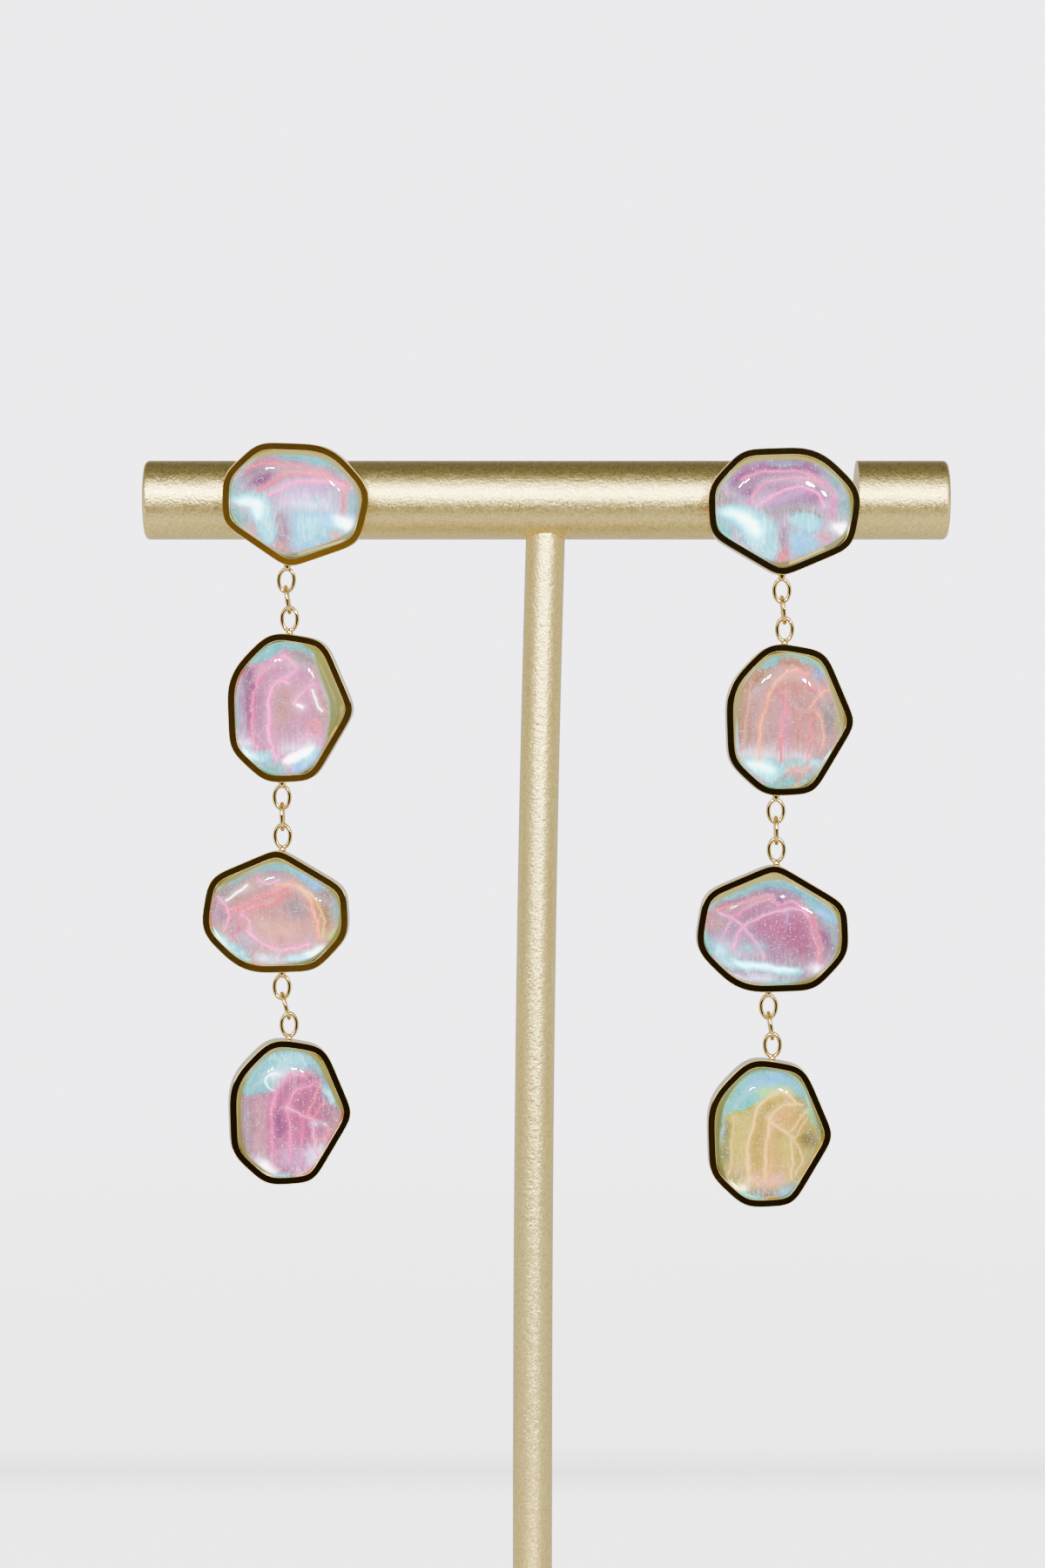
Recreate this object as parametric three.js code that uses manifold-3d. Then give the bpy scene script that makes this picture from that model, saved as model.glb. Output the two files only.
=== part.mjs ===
// A pair of long drop earrings hanging on a T-bar earring stand.
// Millimetres, +Z up, front towards -Y, origin on the table below the middle of the bar.
import * as THREE from "three";
import { mergeVertices } from "three/addons/utils/BufferGeometryUtils.js";
import Module from "manifold-3d";

// Stand
const BAR_LENGTH = 81.2;
const BAR_DIAMETER = 8;
const BAR_EDGE_ROUND = 0.5;
const BAR_SIDES = 32;
const BAR_CENTRE_HEIGHT = 125.5;
const NOTCH_INNER_END = 21.4; // from the middle of the bar
const NOTCH_WIDTH = 10;
const NOTCH_DEPTH = 4; // below the top of the bar
const ROD_DIAMETER = 4;
const ROD_SIDES = 16;
const ROD_STEPS = 14;
const ROD_BEND = 1.4; // how far the rod's foot stands to the left of the middle of the bar
const BAR_SOCKET_DEPTH = 3;
const BASE_SOCKET_DEPTH = 2.5;
const SOCKET_CLEARANCE = 0.2;
const BASE_DIAMETER = 65;
const BASE_THICKNESS = 4;
const BASE_EDGE_ROUND = 1.2;
const BASE_SIDES = 48;

// Bezel cup, the same for every stone
const BEZEL_LENGTH = 15.45;
const BEZEL_HEIGHT = 12.75;
const BEZEL_DEPTH = 3;
const BEZEL_WALL = 0.6;
const BEZEL_BACK = 0.6;
const BEZEL_EDGE_ROUND = 0.15;
const CORNER_STEPS = 3;

// Stone
const STONE_THICKNESS = 4.3;
const STONE_SIDE_GAP = 0.3;
const STONE_BACK_GAP = 0.1;

// Links
const LINK_WIRE = 0.42;
const LINK_WIDTH = 1.95;
const FIXED_LINK_HEIGHT = 2.7;
const LOOSE_LINK_HEIGHT = 3;
const LINK_CLEARANCE = 0.07;
const LINK_SIDES = 12;
const WIRE_SIDES = 6;
const LINK_DEPTH = 1.5; // of the links' plane in front of the bezel's back
const SOLDER_LENGTH = 0.2;
const SOLDER_WIDTH = 0.56;
const SOLDER_SIDES = 8;

// Post and ear back
const POST_DIAMETER = 0.8;
const POST_SIDES = 10;
const POST_TAIL = 1; // behind the ear back
const POST_CLEARANCE = 0.1;
const STUD_CLEARANCE = 0.2; // between the bar and the stud or the ear back
const EAR_BACK_DIAMETER = 5;
const EAR_BACK_THICKNESS = 0.6;
const EAR_BACK_HUB_DIAMETER = 2.4;
const EAR_BACK_DEPTH = 2.6;
const EAR_BACK_SIDES = 20;

// The bezel's outline seen from the front, counter-clockwise from its lowest corner.
// x, z: shares of the length and height from the centre. round: how far the corner's rounding
// reaches along its sides, a share of the height. gap: the stone's gap to the next side, in shares
// of STONE_SIDE_GAP.
const CORNERS = [
  { x: -0.02, z: -0.505, round: 0.06, gap: 1.5 },
  { x: 0.441, z: -0.27, round: 0.1, gap: 0.7 },
  { x: 0.503, z: 0.165, round: 0.13, gap: 0.8 },
  { x: 0.216, z: 0.505, round: 0.19, gap: 1.2 },
  { x: -0.275, z: 0.485, round: 0.09, gap: 1 },
  { x: -0.492, z: 0.204, round: 0.09, gap: 0.5 },
  { x: -0.476, z: -0.18, round: 0.08, gap: 0.7 },
];

// The stone's section from its flat back to its domed front.
// inset: share of the way in to the centre. rise: share of the thickness.
const STONE_RINGS = [
  { inset: 0.34, rise: 0 },
  { inset: 0.05, rise: 0.2 },
  { inset: 0, rise: 0.32 },
  { inset: 0.01, rise: 0.62 },
  { inset: 0.05, rise: 0.8 },
  { inset: 0.14, rise: 0.92 },
  { inset: 0.34, rise: 0.98 },
];

// Each earring's post: postInset from the notch's inner end, postRise above the bezel's centre.
// How each bezel sits, from the stud down. size: its outline's share of the full length and height.
// turn: quarter turns counter-clockwise seen from the front.
// yaw, pitch, roll: degrees that it faces to the right, faces down and leans clockwise.
// top, bottom: its links, shares of the bezel's length to the right of its centre.
// lean: how far the loose link above leans to the right, a share of that link's height.
const EARRINGS = [
  {
    side: "left",
    sign: -1,
    postInset: 3.5,
    postRise: 1.3,
    bezels: [
      { size: 0.965, turn: 0, yaw: 0, pitch: 5, roll: 4, bottom: -0.03, tint: 0xc9a2cf },
      { size: 0.985, turn: 1, yaw: -1, pitch: 2.5, top: -0.01, bottom: -0.063, lean: 0.15, tint: 0xd7a0c4 },
      { size: 0.965, turn: 2, yaw: -1, pitch: 1, top: 0.042, bottom: 0.036, lean: 0.02, tint: 0xe3a9a0 },
      { size: 0.958, turn: 1, yaw: 8, pitch: 1.5, top: -0.005, lean: 0.28, tint: 0xc98aa6 },
    ],
  },
  {
    side: "right",
    sign: 1,
    postInset: 2.2,
    postRise: 2.1,
    bezels: [
      { size: 1, turn: 0, yaw: 0, pitch: 2, bottom: -0.008, tint: 0xb99ad0 },
      { size: 1, turn: 1, yaw: 0, pitch: 1, top: -0.031, bottom: -0.086, lean: 0.11, tint: 0xdeb39a },
      { size: 1, turn: 2, yaw: 0, pitch: 1.5, top: 0.029, bottom: -0.02, lean: 0.02, tint: 0xc785b4 },
      { size: 0.975, turn: 1, yaw: 0, pitch: 1.5, top: 0.02, lean: 0.15, tint: 0xd6b277 },
    ],
  },
];

const wasm = await Module();
wasm.setup();

const radians = THREE.MathUtils.degToRad;

// Closed three.js geometry to a solid, and back.
function solidOf(geometry) {
  const bare = geometry.clone();
  bare.deleteAttribute("normal");
  bare.deleteAttribute("uv");
  const merged = mergeVertices(bare, 1e-4);
  return new wasm.Manifold(
    new wasm.Mesh({
      numProp: 3,
      vertProperties: merged.attributes.position.array,
      triVerts: new Uint32Array(merged.index.array),
    }),
  );
}

function geometryOf(solid) {
  const { vertProperties, triVerts } = solid.getMesh();
  const geometry = new THREE.BufferGeometry();
  geometry.setAttribute("position", new THREE.BufferAttribute(vertProperties, 3));
  geometry.setIndex(new THREE.BufferAttribute(triVerts, 1));
  geometry.computeVertexNormals();
  return geometry;
}

function named(name, solid, material) {
  const mesh = new THREE.Mesh(geometryOf(solid), material);
  mesh.name = name;
  return mesh;
}

// Materials
function satinGold() {
  return new THREE.MeshStandardMaterial({ color: 0xc9b98c, roughness: 0.45, metalness: 1 });
}

function polishedGold() {
  return new THREE.MeshStandardMaterial({ color: 0xe0ab3c, roughness: 0.12, metalness: 1 });
}

function foiledGlass(tint) {
  return new THREE.MeshStandardMaterial({ color: tint, roughness: 0.05, metalness: 0.2 });
}

// A solid turned on the Z axis from a closed half profile of [radius, height] points.
function turned(profile, sides) {
  const points = profile.map(([radius, height]) => new THREE.Vector2(radius, height));
  return solidOf(new THREE.LatheGeometry(points, sides).rotateX(Math.PI / 2));
}

// A round peg from its foot upwards.
function peg(diameter, length, sides, foot) {
  const cylinder = new THREE.CylinderGeometry(diameter / 2, diameter / 2, length, sides);
  cylinder.rotateX(Math.PI / 2);
  cylinder.translate(foot.x, foot.y, foot.z + length / 2);
  return solidOf(cylinder);
}

// Stand
function standBar() {
  const radius = BAR_DIAMETER / 2;
  const half = BAR_LENGTH / 2;
  const round = BAR_EDGE_ROUND;
  const bevel = round * (1 - Math.SQRT1_2);
  const profile = [
    [0, -half],
    [radius - round, -half],
    [radius - bevel, -half + bevel],
    [radius, -half + round],
    [radius, half - round],
    [radius - bevel, half - bevel],
    [radius - round, half],
    [0, half],
  ];
  const alongX = new THREE.Matrix4().makeRotationY(Math.PI / 2);
  const placed = new THREE.Matrix4().makeTranslation(0, 0, BAR_CENTRE_HEIGHT).multiply(alongX);
  let bar = turned(profile, BAR_SIDES).transform(placed.elements);
  const notchFloor = BAR_CENTRE_HEIGHT + radius - NOTCH_DEPTH;
  for (const { sign } of EARRINGS) {
    const cut = new THREE.BoxGeometry(NOTCH_WIDTH, 2 * BAR_DIAMETER, BAR_DIAMETER);
    const middle = sign * (NOTCH_INNER_END + NOTCH_WIDTH / 2);
    cut.translate(middle, 0, notchFloor + BAR_DIAMETER / 2);
    bar = bar.subtract(solidOf(cut));
  }
  const bottom = BAR_CENTRE_HEIGHT - radius;
  const socketFoot = new THREE.Vector3(0, 0, bottom - radius);
  const socketDiameter = ROD_DIAMETER + 2 * SOCKET_CLEARANCE;
  const socket = peg(socketDiameter, radius + BAR_SOCKET_DEPTH, ROD_SIDES, socketFoot);
  return named("stand_bar", bar.subtract(socket), satinGold());
}

// The rod bows a little: its foot stands to the left of its head and points straight down.
function standRod() {
  const head = BAR_CENTRE_HEIGHT - BAR_DIAMETER / 2 + BAR_SOCKET_DEPTH - SOCKET_CLEARANCE;
  const foot = BASE_THICKNESS - BASE_SOCKET_DEPTH + SOCKET_CLEARANCE;
  const path = new THREE.CubicBezierCurve3(
    new THREE.Vector3(-ROD_BEND, 0, foot),
    new THREE.Vector3(-ROD_BEND, 0, foot + (head - foot) * 0.35),
    new THREE.Vector3(-ROD_BEND, 0, foot + (head - foot) * 0.62),
    new THREE.Vector3(0, 0, head),
  );
  const section = new THREE.Shape().absarc(0, 0, ROD_DIAMETER / 2, 0, 2 * Math.PI);
  const rod = new THREE.ExtrudeGeometry(section, {
    steps: ROD_STEPS,
    curveSegments: ROD_SIDES,
    extrudePath: path,
  });
  return named("stand_rod", solidOf(rod), satinGold());
}

function standBase() {
  const radius = BASE_DIAMETER / 2;
  const round = BASE_EDGE_ROUND;
  const bevel = round * (1 - Math.SQRT1_2);
  const profile = [
    [0, 0],
    [radius, 0],
    [radius, BASE_THICKNESS - round],
    [radius - bevel, BASE_THICKNESS - bevel],
    [radius - round, BASE_THICKNESS],
    [0, BASE_THICKNESS],
  ];
  const disc = turned(profile, BASE_SIDES);
  const socketFoot = new THREE.Vector3(0, 0, BASE_THICKNESS - BASE_SOCKET_DEPTH);
  const socketDiameter = ROD_DIAMETER + 2 * SOCKET_CLEARANCE;
  const socket = peg(socketDiameter, BASE_THICKNESS, ROD_SIDES, socketFoot);
  const base = named("stand_base", disc.subtract(socket), satinGold());
  base.position.x = -ROD_BEND;
  return base;
}

// The outline's corners with each side moved in by its own inset.
function insetCorners(size, insetOf) {
  const corners = CORNERS.map(({ x, z }) => {
    return new THREE.Vector2(x * BEZEL_LENGTH, z * BEZEL_HEIGHT).multiplyScalar(size);
  });
  const sides = corners.map((corner, i) => {
    const along = corners[(i + 1) % corners.length].clone().sub(corner).normalize();
    const inwards = new THREE.Vector2(-along.y, along.x);
    return { start: corner.clone().addScaledVector(inwards, insetOf(CORNERS[i])), along };
  });
  return sides.map((side, i) => {
    const before = sides[(i + sides.length - 1) % sides.length];
    const between = side.start.clone().sub(before.start);
    const reach = between.cross(side.along) / before.along.cross(side.along);
    return before.start.clone().addScaledVector(before.along, reach);
  });
}

// A closed shape through those corners, each of them rounded.
function outline(size, insetOf) {
  const corners = insetCorners(size, insetOf);
  const shape = new THREE.Shape();
  corners.forEach((corner, i) => {
    const last = corners[(i + corners.length - 1) % corners.length];
    const next = corners[(i + 1) % corners.length];
    const reach = CORNERS[i].round * BEZEL_HEIGHT * size;
    const enter = corner.clone().add(last.clone().sub(corner).setLength(reach));
    const leave = corner.clone().add(next.clone().sub(corner).setLength(reach));
    if (i === 0) shape.moveTo(enter.x, enter.y);
    else shape.lineTo(enter.x, enter.y);
    shape.quadraticCurveTo(corner.x, corner.y, leave.x, leave.y);
  });
  shape.closePath();
  return shape;
}

function bezelOutline({ size }) {
  return outline(size, () => 0);
}

function cupOutline({ size }) {
  return outline(size, () => BEZEL_WALL);
}

function stoneOutline({ size }) {
  return outline(size, ({ gap }) => BEZEL_WALL + gap * STONE_SIDE_GAP);
}

// A plate of an outline between two depths in front of the bezel's back, its edges rounded by round.
function plate(shape, from, to, round) {
  const geometry = new THREE.ExtrudeGeometry(shape, {
    depth: to - from - 2 * round,
    curveSegments: CORNER_STEPS,
    bevelEnabled: round > 0,
    bevelThickness: round,
    bevelSize: round,
    bevelOffset: -round,
    bevelSegments: 1,
  });
  geometry.rotateX(Math.PI / 2);
  geometry.translate(0, -from - round, 0);
  return solidOf(geometry);
}

// Turns a solid by quarter turns counter-clockwise, seen from the front.
function quarterTurned(solid, turn) {
  return solid.transform(new THREE.Matrix4().makeRotationY((-turn * Math.PI) / 2).elements);
}

// The height of the turned bezel's edge at x, on its upper side (+1) or its lower side (-1).
function edgeHeight(row, x, side) {
  const points = bezelOutline(row).getPoints(CORNER_STEPS).map((point) => {
    return point.clone().rotateAround(new THREE.Vector2(), (row.turn * Math.PI) / 2);
  });
  let height = 0;
  points.forEach((a, i) => {
    const b = points[(i + 1) % points.length];
    if ((a.x - x) * (b.x - x) > 0 || a.x === b.x) return;
    const z = a.y + ((b.y - a.y) * (x - a.x)) / (b.x - a.x);
    if (z * side > height * side) height = z;
  });
  return height;
}

// An oval link with its centre at the origin, face-on to the front.
function oval(height) {
  const ring = new THREE.TorusGeometry(
    (LINK_WIDTH - LINK_WIRE) / 2,
    LINK_WIRE / 2,
    WIRE_SIDES,
    LINK_SIDES,
  );
  ring.rotateZ(Math.PI / LINK_SIDES);
  const stretch = (height - LINK_WIDTH) / 2;
  const position = ring.attributes.position;
  for (let i = 0; i < position.count; i += 1) {
    position.setY(i, position.getY(i) + Math.sign(position.getY(i)) * stretch);
  }
  return solidOf(ring.rotateX(Math.PI / 2));
}

// Where a soldered link's centre lies in the bezel's frame.
function fixedLinkCentre(row, share, side) {
  const x = share * BEZEL_LENGTH;
  const z = edgeHeight(row, x, side) + side * (SOLDER_LENGTH + FIXED_LINK_HEIGHT / 2);
  return new THREE.Vector3(x, -LINK_DEPTH, z);
}

// A soldered link with the solder that joins it to the bezel's wall.
function fixedLink(centre, side) {
  const toWire = (FIXED_LINK_HEIGHT - LINK_WIRE) / 2;
  const sunk = BEZEL_WALL / 2 + SOLDER_LENGTH + LINK_WIRE / 2;
  const foot = centre.clone();
  foot.z -= side > 0 ? toWire + sunk : -toWire;
  const solder = peg(SOLDER_WIDTH, sunk, SOLDER_SIDES, foot);
  return oval(FIXED_LINK_HEIGHT).translate(centre.toArray()).add(solder);
}

// How far apart the stud's back and the ear back lie, with the bar between them.
const STUD_TO_EAR_BACK = BAR_DIAMETER + 2 * STUD_CLEARANCE;

// The bezel's frame: the outline's centre on its back plane, the front towards -Y.
function bezel(row) {
  const cup = plate(bezelOutline(row), 0, BEZEL_DEPTH, BEZEL_EDGE_ROUND);
  const room = plate(cupOutline(row), BEZEL_BACK, BEZEL_DEPTH + BEZEL_BACK, 0);
  let body = quarterTurned(cup.subtract(room), row.turn);
  if (row.top !== undefined) body = body.add(fixedLink(fixedLinkCentre(row, row.top, 1), 1));
  if (row.bottom !== undefined) body = body.add(fixedLink(fixedLinkCentre(row, row.bottom, -1), -1));
  return body;
}

// The stud's post, its root sunk in the bezel's back.
function post(rise) {
  const length = BEZEL_BACK / 2 + STUD_TO_EAR_BACK + EAR_BACK_DEPTH + POST_TAIL;
  const cylinder = new THREE.CylinderGeometry(POST_DIAMETER / 2, POST_DIAMETER / 2, length, POST_SIDES);
  cylinder.translate(0, length / 2 - BEZEL_BACK / 2, rise);
  return solidOf(cylinder);
}

// The stone is lofted through rings of its outline, from the back to the dome of its front.
function stone(row) {
  const points = stoneOutline(row).getPoints(CORNER_STEPS).slice(0, -1);
  const count = points.length;
  const back = BEZEL_BACK + STONE_BACK_GAP;
  const vertices = [];
  for (const { inset, rise } of STONE_RINGS) {
    for (const point of points) {
      vertices.push(point.x * (1 - inset), -back - rise * STONE_THICKNESS, point.y * (1 - inset));
    }
  }
  const backPole = vertices.length / 3;
  vertices.push(0, -back, 0);
  vertices.push(0, -back - STONE_THICKNESS, 0);
  const faces = [];
  const lastRing = (STONE_RINGS.length - 1) * count;
  for (let i = 0; i < count; i += 1) {
    const next = (i + 1) % count;
    for (let ring = 0; ring < lastRing; ring += count) {
      faces.push(ring + i, ring + next, ring + count + next);
      faces.push(ring + i, ring + count + next, ring + count + i);
    }
    faces.push(backPole, next, i);
    faces.push(backPole + 1, lastRing + i, lastRing + next);
  }
  const geometry = new THREE.BufferGeometry();
  geometry.setAttribute("position", new THREE.Float32BufferAttribute(vertices, 3));
  geometry.setIndex(faces);
  return quarterTurned(solidOf(geometry), row.turn);
}

// A friction nut: a round flange in front and a hub behind it, with the post's hole.
function earBack() {
  const hole = POST_DIAMETER / 2 + POST_CLEARANCE;
  const profile = [
    [hole, 0],
    [EAR_BACK_DIAMETER / 2, 0],
    [EAR_BACK_DIAMETER / 2, EAR_BACK_THICKNESS],
    [EAR_BACK_HUB_DIAMETER / 2, EAR_BACK_THICKNESS],
    [EAR_BACK_HUB_DIAMETER / 2, EAR_BACK_DEPTH],
    [hole, EAR_BACK_DEPTH],
    [hole, 0],
  ];
  const backwards = new THREE.Matrix4().makeRotationX(-Math.PI / 2);
  return turned(profile, EAR_BACK_SIDES).transform(backwards.elements);
}

// A group at a point, turned to the angles in degrees at which a piece hangs.
function attitude(point, { yaw = 0, pitch = 0, roll = 0 }) {
  const group = new THREE.Group();
  group.position.copy(point);
  group.rotation.set(radians(pitch), radians(roll), radians(yaw), "ZYX");
  group.updateMatrixWorld(true);
  return group;
}

// The stud's frame: the post lies on the notch's floor and the back stays clear of the bar.
function studPlace({ sign, postInset, bezels }) {
  const above = BAR_DIAMETER / 2 - NOTCH_DEPTH + POST_CLEARANCE + POST_DIAMETER / 2;
  const pitch = radians(bezels[0].pitch);
  const forward = (BAR_DIAMETER / 2 + STUD_CLEARANCE + Math.sin(pitch) * above) / Math.cos(pitch);
  return new THREE.Vector3(sign * (NOTCH_INNER_END + postInset), -forward, BAR_CENTRE_HEIGHT + above);
}

// One earring: the stud, and below it the drops, each on its loose link.
function earring(spec) {
  const pieces = new THREE.Group();
  const grip = LINK_WIRE + LINK_CLEARANCE; // between the middles of two wires that hold each other
  let hook = null; // the middle of the wire that the next loose link hangs on, in the part's frame
  spec.bezels.forEach((row, i) => {
    const label = `${spec.side}_${i + 1}`;
    const holder = new THREE.Group();
    let body = bezel(row);
    let frame;
    if (i === 0) {
      body = body.add(post(spec.postRise));
      frame = attitude(studPlace(spec), row);
      holder.position.z = -spec.postRise;
      const nut = named(`${spec.side}_ear_back`, earBack(), polishedGold());
      nut.position.y = STUD_TO_EAR_BACK;
      frame.add(nut);
    } else {
      const linkTop = hook.clone();
      linkTop.z += grip;
      const lean = Math.asin(row.lean);
      const facing = (row.yaw + spec.bezels[i - 1].yaw) / 2;
      const wireToWire = LOOSE_LINK_HEIGHT - LINK_WIRE;
      const linkFrame = new THREE.Group();
      linkFrame.position.copy(linkTop);
      linkFrame.rotation.y = -lean;
      const edgeOn = new THREE.Matrix4().makeRotationZ(radians(90 + facing));
      const loose = oval(LOOSE_LINK_HEIGHT).transform(edgeOn.elements);
      const link = named(`${label}_loose_link`, loose, polishedGold());
      link.position.z = -wireToWire / 2;
      linkFrame.add(link);
      linkFrame.updateMatrixWorld(true);
      pieces.add(linkFrame);
      const wireTop = linkFrame.localToWorld(new THREE.Vector3(0, 0, -wireToWire));
      wireTop.z += grip;
      frame = attitude(wireTop, row);
      const top = fixedLinkCentre(row, row.top, 1);
      top.z += (FIXED_LINK_HEIGHT - LINK_WIRE) / 2;
      holder.position.copy(top).negate();
    }
    holder.add(named(`${label}_bezel`, body, polishedGold()));
    holder.add(named(`${label}_stone`, stone(row), foiledGlass(row.tint)));
    frame.add(holder);
    frame.updateMatrixWorld(true);
    pieces.add(frame);
    if (row.bottom !== undefined) {
      const bottom = fixedLinkCentre(row, row.bottom, -1);
      bottom.z -= (FIXED_LINK_HEIGHT - LINK_WIRE) / 2;
      hook = holder.localToWorld(bottom);
    }
  });
  return pieces;
}

const group = new THREE.Group();
group.add(standBar(), standRod(), standBase());
for (const spec of EARRINGS) group.add(earring(spec));

export default group;
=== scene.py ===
"""Long drop earrings with foiled glass stones, hanging on a T-bar earring stand."""

import math

import bmesh
import bpy
import numpy as np
from bpy.props import FloatProperty, FloatVectorProperty, IntProperty, PointerProperty
from mathutils import Matrix, Vector


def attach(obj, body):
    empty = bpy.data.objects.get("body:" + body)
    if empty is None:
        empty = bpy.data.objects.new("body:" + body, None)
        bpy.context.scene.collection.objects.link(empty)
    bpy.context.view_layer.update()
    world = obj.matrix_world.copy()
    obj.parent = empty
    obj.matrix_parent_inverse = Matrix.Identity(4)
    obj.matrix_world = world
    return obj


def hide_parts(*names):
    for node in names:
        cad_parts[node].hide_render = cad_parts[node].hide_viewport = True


bl_info = {
    "name": "Drop Earrings on a Stand",
    "version": (1, 0, 0),
    "blender": (4, 5, 0),
    "location": "3D View > Sidebar > Earrings",
    "description": "Builds foiled glass drop earrings and the T-bar stand that holds them",
    "category": "Add Mesh",
}

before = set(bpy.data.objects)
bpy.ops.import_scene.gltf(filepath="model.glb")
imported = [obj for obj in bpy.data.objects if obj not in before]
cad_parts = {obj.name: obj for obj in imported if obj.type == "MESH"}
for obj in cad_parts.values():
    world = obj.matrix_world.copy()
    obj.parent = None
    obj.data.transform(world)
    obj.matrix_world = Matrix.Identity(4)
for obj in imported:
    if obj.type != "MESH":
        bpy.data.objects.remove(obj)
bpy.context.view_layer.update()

MM = 0.001

# How the earrings hang, in the frame's own numbers: millimetres and degrees.
BEZEL_LENGTH = 15.45
BEZEL_HEIGHT = 12.75
BEZEL_DEPTH = 3
BEZEL_BACK = 0.6
RIM_LOOK = 0.74  # the rim over the stone's edge
RIM_ROUNDING = 1.0
STONE_THICKNESS = 4.3
STONE_SIDE_GAP = 0.3
STONE_BACK_GAP = 0.1
STONE_ROUNDING = 1.2
STONE_RINGS = 40
FOIL_GAP = 0.04
FOIL_DEPTH = 0.12
FOIL_RELIEF = 0.2
FOIL_THICKNESS = 0.04
FOIL_RISE = ((0, 0), (0.62, 0.005), (0.7, 0.02), (0.94, 0.19), (1.0, 0.31))  # from its middle outwards
LINK_WIRE = 0.42
LINK_WIDTH = 1.95
FIXED_LINK_HEIGHT = 2.7
LOOSE_LINK_HEIGHT = 3
LINK_CLEARANCE = 0.07
WIRE_LOOK = 0.44  # the wire with its polish
LINK_DEPTH = 1.5
LINK_STEPS = 28
SOLDER_LENGTH = 0.2
SOLDER_RADII = (0.36, 0.33, 0.42)
SOLDER_FOOT = 0.35
SOLDER_SINK = 0.02
POST_DIAMETER = 0.8
POST_TAIL = 1
POST_CLEARANCE = 0.1
POST_ROOT = 0.3
POST_EDGE = 0.12  # a share of its diameter
STUD_CLEARANCE = 0.2
EAR_BACK_DEPTH = 2.6
NUT_FLANGE = ((2.3, 0), (2.5, 0.2), (2.5, 0.45), (2.36, 0.6))
NUT_HUB = ((1.3, 0.6), (1.2, 0.72), (1.2, 2.4), (1.0, 2.6))
BAR_DIAMETER = 8
BAR_HEIGHT = 125.5
BAR_EDGE = 0.5
NOTCH_INNER_END = 21.4
NOTCH_WIDTH = 10
ROD_BEND = 1.4
ROD_FOOT = 1.7
ROD_HEAD = 124.3
ROD_KNOTS = (0, 0.35, 0.62)
BASE_EDGE = 1.2
BASE_FOOT_EDGE = 0.4
BASE_SOCKET_RADIUS = 2.2
BASE_SOCKET_DEPTH = 1.5

# Angles between two faces, in radians, and how near counts as level, in millimetres.
SHARP_ANGLE = 0.7
RIM_ANGLE = 0.8
END_ANGLE = 1.2
NEAR = 1e-4
LEVEL = 1e-6

# The stage, in metres.
CAMERA_PLACE = (-0.0024, -0.356, 0.09676)
LAMP_AIM = (0, 0, 0.09)
LAMP_DISTANCE = 0.9
LAMP_SIZE = 0.05
FLOOR_RADIUS = 1.2
FLOOR_STRIP = 0.139  # how far behind the stand its darker strip of painted shade lies
WARM_SPOT = (-0.069, -0.985, -0.156)  # the way to the warm light in front

# The bezel's corners: x, z shares of its length and height, round a share of its height,
# gap shares of the stone's side gap.
CORNERS = (
    {"x": -0.02, "z": -0.505, "round": 0.06, "gap": 1.5},
    {"x": 0.441, "z": -0.27, "round": 0.1, "gap": 0.7},
    {"x": 0.503, "z": 0.165, "round": 0.13, "gap": 0.8},
    {"x": 0.216, "z": 0.505, "round": 0.19, "gap": 1.2},
    {"x": -0.275, "z": 0.485, "round": 0.09, "gap": 1},
    {"x": -0.492, "z": 0.204, "round": 0.09, "gap": 0.5},
    {"x": -0.476, "z": -0.18, "round": 0.08, "gap": 0.7},
)

# The stone's section from its back to the top of its dome: inset towards the centre and rise.
STONE_SECTION = (
    (0.34, 0.0),
    (0.05, 0.2),
    (0.0, 0.32),
    (0.01, 0.6),
    (0.05, 0.78),
    (0.14, 0.895),
    (0.34, 0.962),
    (0.66, 0.992),
    (1.0, 1.0),
)

# How each bezel sits, from the stud down.
EARRINGS = (
    {
        "side": "left",
        "sign": -1,
        "post_inset": 3.5,
        "post_rise": 1.3,
        "bezels": (
            {"size": 0.965, "turn": 0, "pitch": 5, "roll": 4, "bottom": -0.03},
            {"size": 0.985, "turn": 1, "yaw": -1, "pitch": 2.5, "top": -0.01, "bottom": -0.063, "lean": 0.15},
            {"size": 0.965, "turn": 2, "yaw": -1, "pitch": 1, "top": 0.042, "bottom": 0.036, "lean": 0.02},
            {"size": 0.958, "turn": 1, "yaw": 8, "pitch": 1.5, "top": -0.005, "lean": 0.28},
        ),
    },
    {
        "side": "right",
        "sign": 1,
        "post_inset": 2.2,
        "post_rise": 2.1,
        "bezels": (
            {"size": 1, "turn": 0, "pitch": 2, "bottom": -0.008},
            {"size": 1, "turn": 1, "pitch": 1, "top": -0.031, "bottom": -0.086, "lean": 0.11},
            {"size": 1, "turn": 2, "pitch": 1.5, "top": 0.029, "bottom": -0.02, "lean": 0.02},
            {"size": 0.975, "turn": 1, "pitch": 1.5, "top": 0.02, "lean": 0.15},
        ),
    },
)

BODIES = {1: "stand", 2: "{}_upper_drop", 3: "{}_middle_drop", 4: "{}_lower_drop"}

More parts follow.
